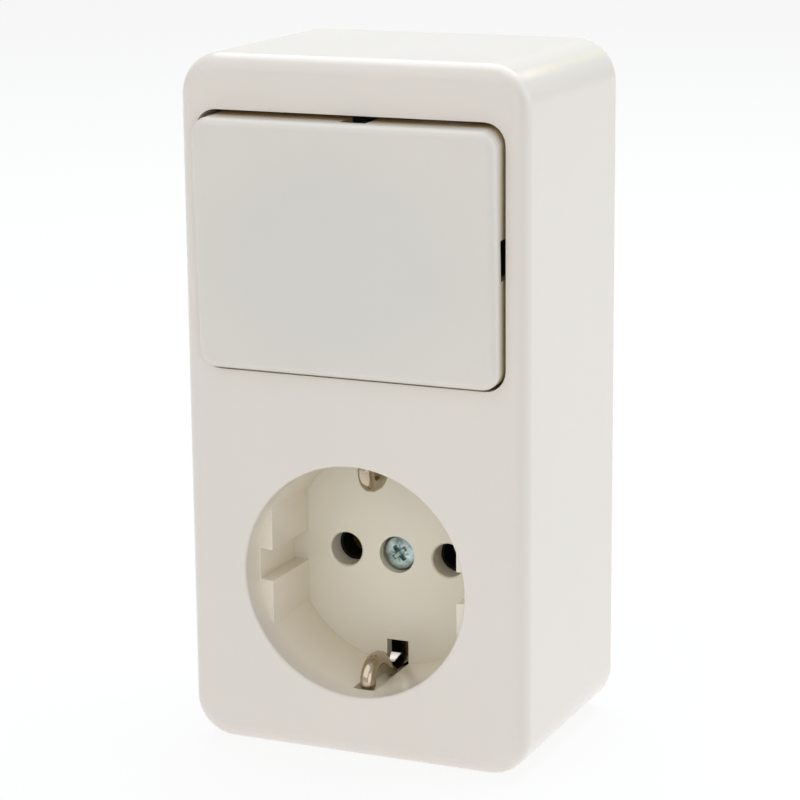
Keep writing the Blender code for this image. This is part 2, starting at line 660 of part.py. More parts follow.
def make_cradle(tilt):
    """The cradle under the cap: plate, two cheeks with pivot pins and the plunger's tube."""
    cradle = block("rocker_cradle", (-CRADLE_WIDTH / 2, CRADLE_WIDTH / 2),
                   (CRADLE_FRONT, CRADLE_BACK),
                   (SWITCH_Z - CRADLE_HEIGHT / 2, SWITCH_Z + CRADLE_HEIGHT / 2),
                   corner=0.001, corner_steps=2, parent=tilt)
    for side, word in ((-1, "left"), (1, "right")):
        limits = sorted((side * CHEEK_INNER_X, side * (CHEEK_INNER_X + CHEEK_THICKNESS)))
        cheek = block("cheek_" + word, limits,
                      (CRADLE_BACK - CRADLE_PLATE / 2, PIVOT_Y + CHEEK_BELOW_PIVOT),
                      (SWITCH_Z - CHEEK_HALF_HEIGHT, SWITCH_Z + CHEEK_HALF_HEIGHT), parent=tilt)
        near = CHEEK_INNER_X + CHEEK_THICKNESS / 2
        far = CHEEK_INNER_X + CHEEK_THICKNESS + PIN_LENGTH
        ends = sorted((side * near, side * far), reverse=True)
        pin = turned_across("pivot_pin_" + word, [(0.0, ends[0]), (PIN_RADIUS, ends[0]),
                                                  (PIN_RADIUS, ends[1]), (0.0, ends[1])],
                            PIVOT_Y, SWITCH_Z, parent=tilt)
        add(cradle, cheek, pin)
    tube = cylinder("guide_tube", GUIDE_TUBE_RADIUS, CRADLE_BACK - CRADLE_PLATE / 2, TUBE_END,
                    z=SWITCH_Z, sides=20, parent=tilt)
    bore = cylinder("guide_bore", GUIDE_BORE_RADIUS, GUIDE_BORE_FRONT, TUBE_END + CRADLE_PLATE,
                    z=SWITCH_Z, sides=20, phase=0.5, parent=tilt)
    add(cradle, tube)
    cut(cradle, bore)
    return as_part(cradle, GREY_MOULDING)


def make_plunger(tilt):
    """The sprung plunger with its round nose, and the coil spring behind it."""
    shoulder = PLUNGER_TIP - PLUNGER_RADIUS
    nose = [(PLUNGER_RADIUS * cos(t), shoulder + PLUNGER_RADIUS * sin(t))
            for t in [k * pi / 10 for k in range(6)]]
    profile = [(0.0, PLUNGER_FRONT), (PLUNGER_RADIUS, PLUNGER_FRONT)] + nose[:-1]
    profile.append((0.0, PLUNGER_TIP))
    plunger = turned("plunger", profile, z=SWITCH_Z, sides=20, parent=tilt)
    as_part(plunger, GREY_MOULDING)
    radius = GUIDE_BORE_RADIUS - FIT_GAP - SPRING_WIRE_RADIUS
    start = GUIDE_BORE_FRONT + FIT_GAP + SPRING_WIRE_RADIUS
    length = PLUNGER_FRONT - FIT_GAP - SPRING_WIRE_RADIUS - start
    per_turn = 10
    curve = bpy.data.curves.new("plunger_spring", "CURVE")
    curve.dimensions = "3D"
    curve.bevel_depth = SPRING_WIRE_RADIUS
    curve.bevel_resolution = 1
    curve.use_fill_caps = True
    spline = curve.splines.new("POLY")
    total = SPRING_TURNS * per_turn
    spline.points.add(total)
    for k, point in enumerate(spline.points):
        angle = 2 * pi * k / per_turn
        along = start + length * k / total
        point.co = (radius * cos(angle), along, radius * sin(angle), 1.0)
    mesh = curve_mesh("plunger_spring", curve)
    spring = link("plunger_spring", mesh, (0.0, 0.0, SWITCH_Z), (0.0, 0.0, 0.0), tilt)
    as_part(spring, SPRING_STEEL)


def make_arm(see_saw):
    """The see-saw contact arm with its knuckle and two contact tips."""
    half = ARM_LENGTH / 2
    arm = block("contact_arm", (-ARM_WIDTH / 2, ARM_WIDTH / 2), (ARM_FRONT, ARM_BACK),
                (SWITCH_Z - half, SWITCH_Z + half), corner=0.001, corner_steps=2, parent=see_saw)
    knuckle = turned_across("arm_knuckle", [(0.0, ARM_WIDTH / 2), (KNUCKLE_RADIUS, ARM_WIDTH / 2),
                                            (KNUCKLE_RADIUS, -ARM_WIDTH / 2),
                                            (0.0, -ARM_WIDTH / 2)],
                            ARM_AXIS, SWITCH_Z, parent=see_saw)
    add(arm, knuckle)
    for side, word in ((-1, "lower"), (1, "upper")):
        tip = cylinder("arm_tip_" + word, TIP_RADIUS, ARM_BACK - ARM_THICKNESS / 2,
                       ARM_BACK + TIP_HEIGHT, z=SWITCH_Z + side * TIP_OFFSET, parent=see_saw)
        add(arm, tip)
    return as_part(arm, BRASS)


def make_contacts():
    """The two fixed contact strips and the common strip with its fulcrum post."""
    end_x = SWITCH_TERMINAL_X + TERMINAL_WIDTH / 2
    half = STRIP_WIDTH / 2
    for side, word in ((-1, "lower"), (1, "upper")):
        z = SWITCH_Z + side * TIP_OFFSET
        strip = block(word + "_contact", (-end_x, CONTACT_END_X), (STRIP_FRONT, STRIP_BACK),
                      (z - half, z + half), corner=0.0006, corner_steps=2)
        tip = cylinder("fixed_tip_" + word, TIP_RADIUS, STRIP_FRONT - FIXED_TIP_HEIGHT,
                       STRIP_FRONT + STRIP_THICKNESS / 2, z=z)
        add(strip, tip)
        as_part(strip, BRASS)
    run_end = RUN_INNER_X + RUN_WIDTH
    low = SWITCH_Z - POST_HALF_HEIGHT
    high = SWITCH_Z + POST_HALF_HEIGHT
    bar_low = SWITCH_Z + TIP_OFFSET - half
    bar_high = SWITCH_Z + TIP_OFFSET + half
    shape = [(-POST_WIDTH / 2, low), (run_end, low), (run_end, bar_low), (end_x, bar_low),
             (end_x, bar_high), (RUN_INNER_X, bar_high), (RUN_INNER_X, high),
             (-POST_WIDTH / 2, high)]
    common = outline("common_contact", shape, STRIP_FRONT, STRIP_BACK, "Y")
    post = block("fulcrum_post", (-POST_WIDTH / 2, POST_WIDTH / 2),
                 (ARM_BACK + POST_CLEARANCE, STRIP_FRONT + STRIP_THICKNESS / 2), (low, high))
    seat = turned_across("fulcrum_seat", [(0.0, POST_WIDTH), (KNUCKLE_RADIUS + FIT_GAP, POST_WIDTH),
                                          (KNUCKLE_RADIUS + FIT_GAP, -POST_WIDTH),
                                          (0.0, -POST_WIDTH)], ARM_AXIS, SWITCH_Z)
    add(common, post)
    cut(common, seat)
    as_part(common, BRASS)


def switch_terminals():
    """Where the switch's terminals sit: side in x, side in z and a word."""
    return ((-1, -1, "lower"), (-1, 1, "upper"), (1, 1, "common"))


def make_switch_body():
    """The switch insert: cavity, terminal pockets, bearing ears and screw holes."""
    half_x = SWITCH_BODY_WIDTH / 2
    half_z = SWITCH_BODY_HEIGHT / 2
    body = block("switch_body", (-half_x, half_x), (SWITCH_FRONT, SWITCH_BACK),
                 (SWITCH_Z - half_z, SWITCH_Z + half_z), corner=BODY_EDGE * 2, front=BODY_EDGE,
                 corner_steps=3, front_steps=1)
    for side, word in ((-1, "left"), (1, "right")):
        limits = sorted((side * EAR_INNER_X, side * (EAR_INNER_X + EAR_THICKNESS)))
        ear = block("ear_" + word, limits, (PIVOT_Y - EAR_ABOVE_PIVOT, SWITCH_FRONT + BODY_EDGE * 2),
                    (SWITCH_Z - CHEEK_HALF_HEIGHT, SWITCH_Z + CHEEK_HALF_HEIGHT))
        add(body, ear)
    bearing = turned_across("bearing", [(0.0, half_x), (PIN_HOLE_IN_EAR, half_x),
                                        (PIN_HOLE_IN_EAR, -half_x), (0.0, -half_x)],
                            PIVOT_Y, SWITCH_Z)
    clear = SWITCH_FRONT - FIT_GAP
    cavity = block("cavity", (-CAVITY_WIDTH / 2, CAVITY_WIDTH / 2), (clear, CAVITY_FLOOR),
                   (SWITCH_Z - CAVITY_HEIGHT / 2, SWITCH_Z + CAVITY_HEIGHT / 2))
    cut(body, bearing, cavity)
    half_w = TERMINAL_WIDTH / 2 + POCKET_GAP
    for side_x, side_z, word in switch_terminals():
        x = side_x * SWITCH_TERMINAL_X
        inner_z = SWITCH_TERMINAL_Z - TERMINAL_HEIGHT / 2 - POCKET_GAP
        limits = sorted((SWITCH_Z + side_z * inner_z, SWITCH_Z + side_z * (half_z + POCKET_GAP)))
        pocket = block("pocket_" + word, (x - half_w, x + half_w), (clear, CAVITY_FLOOR), limits)
        way_x = sorted((side_x * (CAVITY_WIDTH / 2 - POCKET_GAP), side_x * SWITCH_TERMINAL_X))
        strip_z = SWITCH_Z + side_z * TIP_OFFSET
        reach = STRIP_WIDTH / 2 + FIT_GAP
        way = block("way_" + word, way_x, (clear, CAVITY_FLOOR), (strip_z - reach, strip_z + reach))
        cut(body, pocket, way)
    for side, word in ((-1, "left"), (1, "right")):
        sink = SWITCH_FRONT + INSERT_HEAD_DEPTH + FIT_GAP * 2
        wide = INSERT_HEAD_RADIUS + FIT_GAP
        narrow = INSERT_SCREW_RADIUS + FIT_GAP
        hole = turned("switch_screw_hole_" + word,
                      [(0.0, clear), (wide, clear), (wide, sink), (narrow, sink),
                       (narrow, SWITCH_BACK + FIT_GAP), (0.0, SWITCH_BACK + FIT_GAP)],
                      side * SWITCH_SCREW_X, SWITCH_Z, SMALL_SIDES)
        cut(body, hole)
    return as_part(body, GREY_MOULDING)


def make_switch():
    """Everything under the rocker."""
    make_switch_body()
    make_contacts()
    for side_x, side_z, word in switch_terminals():
        terminal("switch_terminal_" + word, side_x * SWITCH_TERMINAL_X,
                 SWITCH_Z + side_z * SWITCH_TERMINAL_Z, STRIP_FRONT - FIT_GAP)
    for side, word in ((-1, "left"), (1, "right")):
        screw("switch_screw_" + word, side * SWITCH_SCREW_X, SWITCH_Z, SWITCH_FRONT + FIT_GAP,
              INSERT_HEAD_RADIUS, INSERT_HEAD_DEPTH, INSERT_SCREW_RADIUS,
              SWITCH_BACK + INSERT_SCREW_BITE)


def socket_screws():
    """The diagonal places of the two screws that hold the socket insert."""
    return ((1, 1, "upper"), (-1, -1, "lower"))


def make_socket_base():
    """The socket insert: pin bores, bracket channel, terminal pockets and screw holes."""
    half_x = SOCKET_BASE_WIDTH / 2
    half_z = SOCKET_BASE_HEIGHT / 2
    base = block("socket_base", (-half_x, half_x), (SOCKET_FRONT, SOCKET_BACK),
                 (SOCKET_Z - half_z, SOCKET_Z + half_z), corner=BODY_EDGE * 3, front=BODY_EDGE,
                 corner_steps=3, front_steps=1)
    clear = SOCKET_FRONT - FIT_GAP
    channel_floor = BRACKET_BACK + POCKET_GAP
    bar = EARTH_BAR_WIDTH / 2 + POCKET_GAP
    channel = block("bar_channel", (-bar, bar), (clear, channel_floor),
                    (SOCKET_Z - half_z - POCKET_GAP, SOCKET_Z + half_z + POCKET_GAP))
    eye = max(EARTH_EYE_RADIUS, CENTRE_BOSS_RADIUS) + POCKET_GAP
    collar = EARTH_COLLAR_RADIUS + POCKET_GAP
    shank = CENTRE_SHANK_RADIUS + POCKET_GAP
    collar_end = BRACKET_BACK + EARTH_COLLAR_LENGTH + POCKET_GAP
    shank_end = FLOOR_Y + CENTRE_HEAD_SINK + CENTRE_HEAD_DEPTH + CENTRE_SHANK_LENGTH + POCKET_GAP
    centre = turned("centre_hollow", [(0.0, clear), (eye, clear), (eye, channel_floor),
                                      (collar, channel_floor), (collar, collar_end),
                                      (shank, collar_end), (shank, shank_end), (0.0, shank_end)],
                    z=SOCKET_Z, sides=24)
    tab = EARTH_TERMINAL_X + TERMINAL_WIDTH / 2 + POCKET_GAP
    tab_half = STRIP_WIDTH / 2 + POCKET_GAP
    tab_way = block("tab_way", (-tab, 0.0), (clear, channel_floor),
                    (SOCKET_Z + EARTH_TERMINAL_Z - tab_half, SOCKET_Z + EARTH_TERMINAL_Z + tab_half))
    pocket_low = SOCKET_Z + EARTH_TERMINAL_Z - TERMINAL_HEIGHT / 2 - POCKET_GAP
    half_w = TERMINAL_WIDTH / 2 + POCKET_GAP
    earth_seat = BRACKET_BACK + FIT_GAP + TERMINAL_DEPTH + FIT_GAP
    earth_pocket = block("earth_pocket", (-EARTH_TERMINAL_X - half_w, -EARTH_TERMINAL_X + half_w),
                         (clear, earth_seat), (pocket_low, SOCKET_Z + half_z + POCKET_GAP))
    cut(base, channel, centre, tab_way, earth_pocket)
    seat = SOCKET_BACK + SOCKET_BASE_BACK - SLEEVE_TAIL_BACK - STRIP_THICKNESS - FIT_GAP
    for side, word in ((-1, "left"), (1, "right")):
        wide = PIN_HOLE_RADIUS + PIN_COLLAR_WALL + POCKET_GAP
        ledge = FLOOR_Y + PIN_COLLAR_DEPTH + FIT_GAP
        bore_start = ledge + SLEEVE_LIP
        bore_radius = SLEEVE_RADIUS + FIT_GAP
        end = SOCKET_BACK + FIT_GAP
        bore = turned("pin_bore_" + word,
                      [(0.0, clear), (wide, clear), (wide, ledge), (SLEEVE_LIP_RADIUS, ledge),
                       (SLEEVE_LIP_RADIUS, bore_start), (bore_radius, bore_start),
                       (bore_radius, end), (0.0, end)], side * PIN_X, SOCKET_Z, 24)
        half_tail = STRIP_WIDTH / 2 + POCKET_GAP
        tail_x = sorted((side * PIN_X, side * (half_x + POCKET_GAP)))
        tail = block("tail_way_" + word, tail_x, (seat, end),
                     (SOCKET_Z - half_tail, SOCKET_Z + half_tail))
        pocket_x = sorted((side * (SOCKET_TERMINAL_X - half_w), side * (half_x + POCKET_GAP)))
        half_h = TERMINAL_HEIGHT / 2 + POCKET_GAP
        pocket = block("socket_pocket_" + word, pocket_x, (clear, seat),
                       (SOCKET_Z - half_h, SOCKET_Z + half_h))
        cut(base, bore, tail, pocket)
    for side_x, side_z, word in socket_screws():
        head = INSERT_HEAD_RADIUS + FIT_GAP
        sink = SOCKET_FRONT + INSERT_HEAD_DEPTH + FIT_GAP * 2
        narrow = INSERT_SCREW_RADIUS + FIT_GAP
        ledge = socket_post_top() - FIT_GAP
        post = POST_RADIUS + POCKET_GAP
        end = SOCKET_BACK + FIT_GAP
        hole = turned("socket_screw_hole_" + word,
                      [(0.0, clear), (head, clear), (head, sink), (narrow, sink), (narrow, ledge),
                       (post, ledge), (post, end), (0.0, end)],
                      side_x * SOCKET_SCREW_X, SOCKET_Z + side_z * SOCKET_SCREW_Z, 20)
        cut(base, hole)
    return as_part(base, BLACK_MOULDING)


def socket_post_top():
    """The height of the base plate's posts under the socket insert."""
    return (SOCKET_FRONT + SOCKET_BACK) / 2


def make_pin_contacts():
    """The two spring sleeves that grip the plug's pins, each with a tail to its terminal."""
    sleeve_back = SOCKET_BACK - FIT_GAP
    tail_back = -SLEEVE_TAIL_BACK
    for side, word in ((-1, "left"), (1, "right")):
        flare = (SLEEVE_RADIUS - SLEEVE_BORE_RADIUS) / 2
        profile = [(SLEEVE_BORE_RADIUS + flare, SLEEVE_FRONT), (SLEEVE_RADIUS, SLEEVE_FRONT),
                   (SLEEVE_RADIUS, sleeve_back), (SLEEVE_BORE_RADIUS, sleeve_back),
                   (SLEEVE_BORE_RADIUS, SLEEVE_FRONT + flare * 2),
                   (SLEEVE_BORE_RADIUS + flare, SLEEVE_FRONT)]
        sleeve = turned("pin_contact_" + word, profile, side * PIN_X, SOCKET_Z, 20)
        middle = (SLEEVE_BORE_RADIUS + SLEEVE_RADIUS) / 2
        tail_x = sorted((side * (PIN_X + middle),
                         side * (SOCKET_TERMINAL_X + TERMINAL_WIDTH / 2)))
        tail = block("tail_" + word, tail_x, (tail_back - STRIP_THICKNESS, tail_back),
                     (SOCKET_Z - STRIP_WIDTH / 2, SOCKET_Z + STRIP_WIDTH / 2))
        slit_x = sorted((side * PIN_X, side * (PIN_X - SLEEVE_RADIUS * 1.2)))
        slit = block("slit_" + word, slit_x, (SLEEVE_FRONT - flare, tail_back - SLEEVE_RADIUS),
                     (SOCKET_Z - SLEEVE_SLIT / 2, SOCKET_Z + SLEEVE_SLIT / 2))
        add(sleeve, tail)
        cut(sleeve, slit)
        as_part(sleeve, BRASS)


def clip_line():
    """The middle line of an earth clip, from its free end to the bar, as (y, z) from SOCKET_Z."""
    half = EARTH_CLIP_THICKNESS / 2
    front = FRONT + EARTH_CLIP_FRONT + half
    crest = CUP_RADIUS - EARTH_CLIP_REACH + half
    tip = CUP_RADIUS + EARTH_TIP_OUTWARD
    corners = [(front, tip), (front, crest), (FRONT + EARTH_CLIP_CREST_END, crest),
               (FRONT + EARTH_CLIP_HEEL, EARTH_LEG), ((BRACKET_Y + BRACKET_BACK) / 2, EARTH_LEG)]
    line = filleted(corners, (EARTH_FRONT_BEND, EARTH_CREST_BEND, EARTH_HEEL_BEND))
    end = [Vector((front, tip - half * (1 - cos(t)))) for t in (pi / 8, pi / 4, pi / 2)]
    return line[:1] + end + line[1:]


def clip_sizes(line):
    """The width and thickness at each point: round at the free end, thinner on the leg."""
    sizes = []
    crest_end = FRONT + EARTH_CLIP_CREST_END
    for k, place in enumerate(line):
        share = min(max((place.x - crest_end) / (FRONT + EARTH_CLIP_HEEL - crest_end), 0.0), 1.0)
        round_end = (0.3, 0.55, 0.8)[k] if k < 3 else 1.0
        width = EARTH_CLIP_WIDTH + (EARTH_LEG_WIDTH - EARTH_CLIP_WIDTH) * share
        thick = EARTH_CLIP_THICKNESS + (EARTH_LEG_THICKNESS - EARTH_CLIP_THICKNESS) * share
        sizes.append((width - thick * (1 - round_end), thick * round_end))
    return sizes


def swept_strip(name, line, sizes, side, parent=None):
    """A loft of round-edged sections along a line in the YZ plane."""
    shape = bmesh.new()
    rings = []
    for k, (place, (width, thick)) in enumerate(zip(line, sizes)):
        along = (line[min(k + 1, len(line) - 1)] - line[max(k - 1, 0)]).normalized()
        aside = Vector((-along.y, along.x))
        ring = []
        for j in range(STRIP_SIDES):
            turn = 2 * pi * (j + 0.5) / STRIP_SIDES
            x = (width - thick) / 2 * (1 if cos(turn) > 0 else -1) + thick / 2 * cos(turn)
            out = place + aside * thick / 2 * sin(turn)
            ring.append(shape.verts.new((x, out.x, SOCKET_Z - EARTH_CLIP_DROP + side * out.y)))
        rings.append(ring)
    for low, high in zip(rings, rings[1:]):
        for j in range(STRIP_SIDES):
            after = (j + 1) % STRIP_SIDES
            shape.faces.new((low[j], low[after], high[after], high[j]))
    shape.faces.new(rings[0])
    shape.faces.new(rings[-1])
    bmesh.ops.recalc_face_normals(shape, faces=shape.faces)
    mesh = bpy.data.meshes.new(name)
    shape.to_mesh(mesh)
    shape.free()
    return link(name, mesh, (0.0, 0.0, 0.0), (0.0, 0.0, 0.0), parent)


def earth_plate_outline():
    """The flat middle of the earth bracket: a bar with an eye and a side tab."""
    half_w = EARTH_BAR_WIDTH / 2
    half_l = EARTH_LEG + EARTH_LEG_THICKNESS / 2 + EARTH_BAR_OVERHANG
    tab_end = EARTH_TERMINAL_X + TERMINAL_WIDTH / 2
    tab_low = EARTH_TERMINAL_Z - STRIP_WIDTH / 2
    tab_high = EARTH_TERMINAL_Z + STRIP_WIDTH / 2
    open_angle = acos(half_w / EARTH_EYE_RADIUS)
    points = [(half_w, -half_l)]
    points += arc((0.0, 0.0), EARTH_EYE_RADIUS, -open_angle, open_angle, 8)
    points += [(half_w, half_l), (-half_w, half_l), (-half_w, tab_high), (-tab_end, tab_high),
               (-tab_end, tab_low), (-half_w, tab_low)]
    points += arc((0.0, 0.0), EARTH_EYE_RADIUS, pi - open_angle, pi + open_angle, 8)
    points.append((-half_w, -half_l))
    return [(x, SOCKET_Z + z) for x, z in points]


def make_earth_bracket():
    """The sprung earth bracket: a clip at each end, a bar, an eye and a terminal tab."""
    bracket = outline("earth_bracket", earth_plate_outline(), BRACKET_Y, BRACKET_BACK, "Y")
    line = clip_line()
    for side, word in earth_ends():
        add(bracket, swept_strip("earth_clip_" + word, line, clip_sizes(line), side))
    collar = cylinder("earth_collar", EARTH_COLLAR_RADIUS, BRACKET_Y + EARTH_BAR_THICKNESS / 2,
                      BRACKET_BACK + EARTH_COLLAR_LENGTH, z=SOCKET_Z, sides=20)
    hole = cylinder("earth_hole", CENTRE_SHANK_RADIUS + FIT_GAP, BRACKET_Y - EARTH_BAR_THICKNESS,
                    BRACKET_BACK + EARTH_COLLAR_LENGTH * 2, z=SOCKET_Z, sides=20, phase=0.5)
    tab_hole = cylinder("tab_hole", TERMINAL_SCREW_RADIUS + FIT_GAP,
                        BRACKET_Y - EARTH_BAR_THICKNESS, BRACKET_BACK + EARTH_BAR_THICKNESS,
                        -EARTH_TERMINAL_X, SOCKET_Z + EARTH_TERMINAL_Z)
    add(bracket, collar)
    cut(bracket, hole, tab_hole)
    return as_part(bracket, NICKEL)


def make_centre_screw():
    """The cross-head screw that holds the cover, its head sunk below the socket's floor."""
    front = FLOOR_Y + CENTRE_HEAD_SINK
    back = front + CENTRE_HEAD_DEPTH
    radius = CENTRE_HEAD_RADIUS
    edge = [(radius - CENTRE_HEAD_EDGE * (1 - sin(t)), front + CENTRE_HEAD_EDGE * (1 - cos(t)))
            for t in [k * pi / 8 for k in range(5)]]
    end = back + CENTRE_SHANK_LENGTH
    shank = CENTRE_SHANK_RADIUS
    profile = [(0.0, front)] + edge + [(radius, back), (shank, back), (shank, end - shank / 2),
                                       (shank / 2, end), (0.0, end)]
    made = turned("centre_screw", profile, z=SOCKET_Z, sides=RADIAL_SIDES)
    a = CROSS_ARM / 2
    b = CROSS_WIDTH / 2
    plus = [(a, -b), (a, b), (b, b), (b, a), (-b, a), (-b, b), (-a, b), (-a, -b), (-b, -b),
            (-b, -a), (b, -a), (b, -b)]
    turn = pi / 7
    spun = [(x * cos(turn) - z * sin(turn), SOCKET_Z + x * sin(turn) + z * cos(turn))
            for x, z in plus]
    cross = outline("cross_recess", spun, front - CROSS_DEPTH, front + CROSS_DEPTH, "Y")
    cut(made, cross)
    return as_part(made, ZINC)


def make_socket():
    """Everything behind the cup."""
    make_socket_base()
    make_pin_contacts()
    make_earth_bracket()
    make_centre_screw()
    seat = -SLEEVE_TAIL_BACK - STRIP_THICKNESS - FIT_GAP
    for side, word in ((-1, "left"), (1, "right")):
        terminal("socket_terminal_" + word, side * SOCKET_TERMINAL_X, SOCKET_Z, seat - FIT_GAP)
    terminal("socket_terminal_earth", -EARTH_TERMINAL_X, SOCKET_Z + EARTH_TERMINAL_Z,
             BRACKET_BACK + FIT_GAP + TERMINAL_DEPTH, BRACKET_Y - FIT_GAP)
    for side_x, side_z, word in socket_screws():
        screw("socket_screw_" + word, side_x * SOCKET_SCREW_X,
              SOCKET_Z + side_z * SOCKET_SCREW_Z, SOCKET_FRONT + FIT_GAP,
              INSERT_HEAD_RADIUS, INSERT_HEAD_DEPTH, INSERT_SCREW_RADIUS,
              socket_post_top() + INSERT_SCREW_BITE)


def make_base_plate():
    """The base plate: tray, posts for the inserts, wall slots, cable entry and ribs."""
    half_x = INNER_X - FIT_GAP
    half_z = INNER_Z - FIT_GAP
    radius = BODY_CORNER_RADIUS - COVER_WALL - FIT_GAP
    plate = block("base_plate", (-half_x, half_x), (-BASE_RIM_HEIGHT, 0.0), (-half_z, half_z),
                  corner=radius, corner_steps=6)
    in_x = half_x - BASE_RIM_WALL
    in_z = half_z - BASE_RIM_WALL
    tray = block("tray", (-in_x, in_x), (-BASE_RIM_HEIGHT - BASE_PLATE, BASE_FRONT), (-in_z, in_z),
                 corner=radius - BASE_RIM_WALL, corner_steps=4)
    cut(plate, tray)
    posts = [(side * SWITCH_SCREW_X, SWITCH_Z, SWITCH_BACK + FIT_GAP, word)
             for side, word in ((-1, "switch_left"), (1, "switch_right"))]
    posts += [(side_x * SOCKET_SCREW_X, SOCKET_Z + side_z * SOCKET_SCREW_Z,
               socket_post_top(), "socket_" + word) for side_x, side_z, word in socket_screws()]
    for x, z, top, word in posts:
        post = cylinder("post_" + word, POST_RADIUS, top, BASE_FRONT + BASE_PLATE / 2, x, z, 20)
        add(plate, post)
    for z, word in ((SWITCH_Z - SWITCH_BODY_HEIGHT / 2, "upper"),
                    (SOCKET_Z + SOCKET_BASE_HEIGHT / 2 + RIB_THICKNESS * 2, "lower")):
        rib = block("rib_" + word, (-in_x - BASE_RIM_WALL / 2, in_x + BASE_RIM_WALL / 2),
                    (BASE_FRONT - RIB_HEIGHT, BASE_FRONT + BASE_PLATE / 2),
                    (z - RIB_THICKNESS / 2, z + RIB_THICKNESS / 2))
        add(plate, rib)
    for x, z, top, word in posts:
        pilot = INSERT_SCREW_RADIUS + FIT_GAP
        bottom = min(top + INSERT_SCREW_BITE + POCKET_GAP * 2, BASE_FRONT + BASE_PLATE / 2)
        hole = cylinder("pilot_" + word, pilot, top - BASE_PLATE, bottom, x, z, phase=0.5)
        cut(plate, hole)
    entry = cylinder("cable_entry", CABLE_ENTRY_RADIUS, -BASE_PLATE * 2, BASE_PLATE, z=SWITCH_Z,
                     sides=RADIAL_SIDES)
    cut(plate, entry)
    top_slot = SWITCH_Z + SWITCH_BODY_HEIGHT / 2 + WALL_SLOT_WIDTH
    for x, z, word in ((-WALL_SLOT_X, WALL_SLOT_Z, "left"), (WALL_SLOT_X, WALL_SLOT_Z, "right"),
                       (0.0, top_slot, "top")):
        slot = outline("wall_slot_" + word, obround(x, z, WALL_SLOT_LENGTH, WALL_SLOT_WIDTH),
                       -BASE_PLATE * 2, BASE_PLATE, "Y")
        cut(plate, slot)
    return as_part(plate, BASE_WHITE)


def main():
    """Build every piece in its rest position."""
    tilt = pivot("rocker_pivot", (0.0, PIVOT_Y, SWITCH_Z), ROCKER_TILT)
    see_saw = pivot("arm_pivot", (0.0, ARM_AXIS, SWITCH_Z), -ARM_TILT)
    make_cover()
    make_base_plate()
    make_rocker(tilt)
    make_cradle(tilt)
    make_plunger(tilt)
    make_arm(see_saw)
    make_switch()
    make_socket()


main()
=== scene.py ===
"""The switch and socket combination dressed for rendering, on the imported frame."""

import json
from math import cos, pi, radians, sin

import bmesh
import bpy
import numpy as np
from mathutils import Matrix, Vector


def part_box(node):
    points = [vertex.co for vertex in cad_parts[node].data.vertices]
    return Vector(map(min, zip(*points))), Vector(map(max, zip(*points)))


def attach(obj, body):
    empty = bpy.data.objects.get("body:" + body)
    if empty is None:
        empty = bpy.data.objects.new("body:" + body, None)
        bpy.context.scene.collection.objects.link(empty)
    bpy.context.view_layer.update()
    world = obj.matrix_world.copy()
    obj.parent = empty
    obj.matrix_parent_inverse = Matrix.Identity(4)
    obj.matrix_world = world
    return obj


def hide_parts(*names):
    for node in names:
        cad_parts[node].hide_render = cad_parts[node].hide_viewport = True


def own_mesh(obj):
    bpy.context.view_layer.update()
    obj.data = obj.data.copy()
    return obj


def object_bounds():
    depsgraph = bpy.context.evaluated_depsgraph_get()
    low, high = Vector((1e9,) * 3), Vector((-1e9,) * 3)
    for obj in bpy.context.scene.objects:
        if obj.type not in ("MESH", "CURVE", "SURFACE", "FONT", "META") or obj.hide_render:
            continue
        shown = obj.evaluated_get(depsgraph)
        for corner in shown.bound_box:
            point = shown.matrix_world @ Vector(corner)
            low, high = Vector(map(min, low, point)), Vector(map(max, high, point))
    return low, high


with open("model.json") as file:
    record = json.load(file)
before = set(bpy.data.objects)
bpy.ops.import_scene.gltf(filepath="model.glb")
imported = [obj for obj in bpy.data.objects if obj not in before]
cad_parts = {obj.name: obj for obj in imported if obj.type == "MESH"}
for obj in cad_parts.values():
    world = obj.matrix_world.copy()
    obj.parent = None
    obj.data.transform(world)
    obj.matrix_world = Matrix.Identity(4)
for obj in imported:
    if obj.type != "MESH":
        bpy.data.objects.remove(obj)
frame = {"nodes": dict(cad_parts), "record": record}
CAD_BOUNDS = [list(corner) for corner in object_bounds()]
NODES = frame["nodes"]
SLOTS = {entry["node"]: entry["material_slot"] for entry in frame["record"]["subparts"]}
COVER_LOW, COVER_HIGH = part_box("cover")
FRONT = COVER_LOW[1]

# The fitted camera, in the part's frame
AZIMUTH = radians(23.83)
ELEVATION = radians(13.38)
ROLL = radians(-0.52)
TARGET = Vector((0.00882, -0.0415, 0.00393))
DISTANCE = 0.4498
FOCAL_PIXELS = 2793.23
PICTURE_PIXELS = 800.0
SENSOR_MM = 36.0
NEAREST_SEEN = 0.01
FARTHEST_SEEN = 20.0

# The studio's lamps: name, place, width and height, watts, colour
LAMP_AIM = (0.0, -0.02, 0.0)
LAMPS = (("lamp_top", (-0.05, 0.28, 0.75), (0.9, 0.9), 6.0, (0.86, 0.95, 1.0)),
         ("lamp_right", (0.75, 0.35, 0.25), (0.6, 0.8), 2.1, (0.86, 0.94, 1.0)),
         ("lamp_front", (-0.35, -0.68, 0.60), (0.9, 0.9), 2.35, (1.0, 1.0, 1.0)),
         ("lamp_front_right", (0.5, -0.75, 0.12), (0.7, 0.7), 1.45, (1.0, 1.0, 1.0)))

# The world: its light on the object, and its brightness in what mirrors it
WORLD_GREY = (0.8, 0.8, 0.8, 1.0)
WORLD_LIGHT = 0.59
WORLD_MIRRORED = 0.8
WHITE = (1.0, 1.0, 1.0, 1.0)

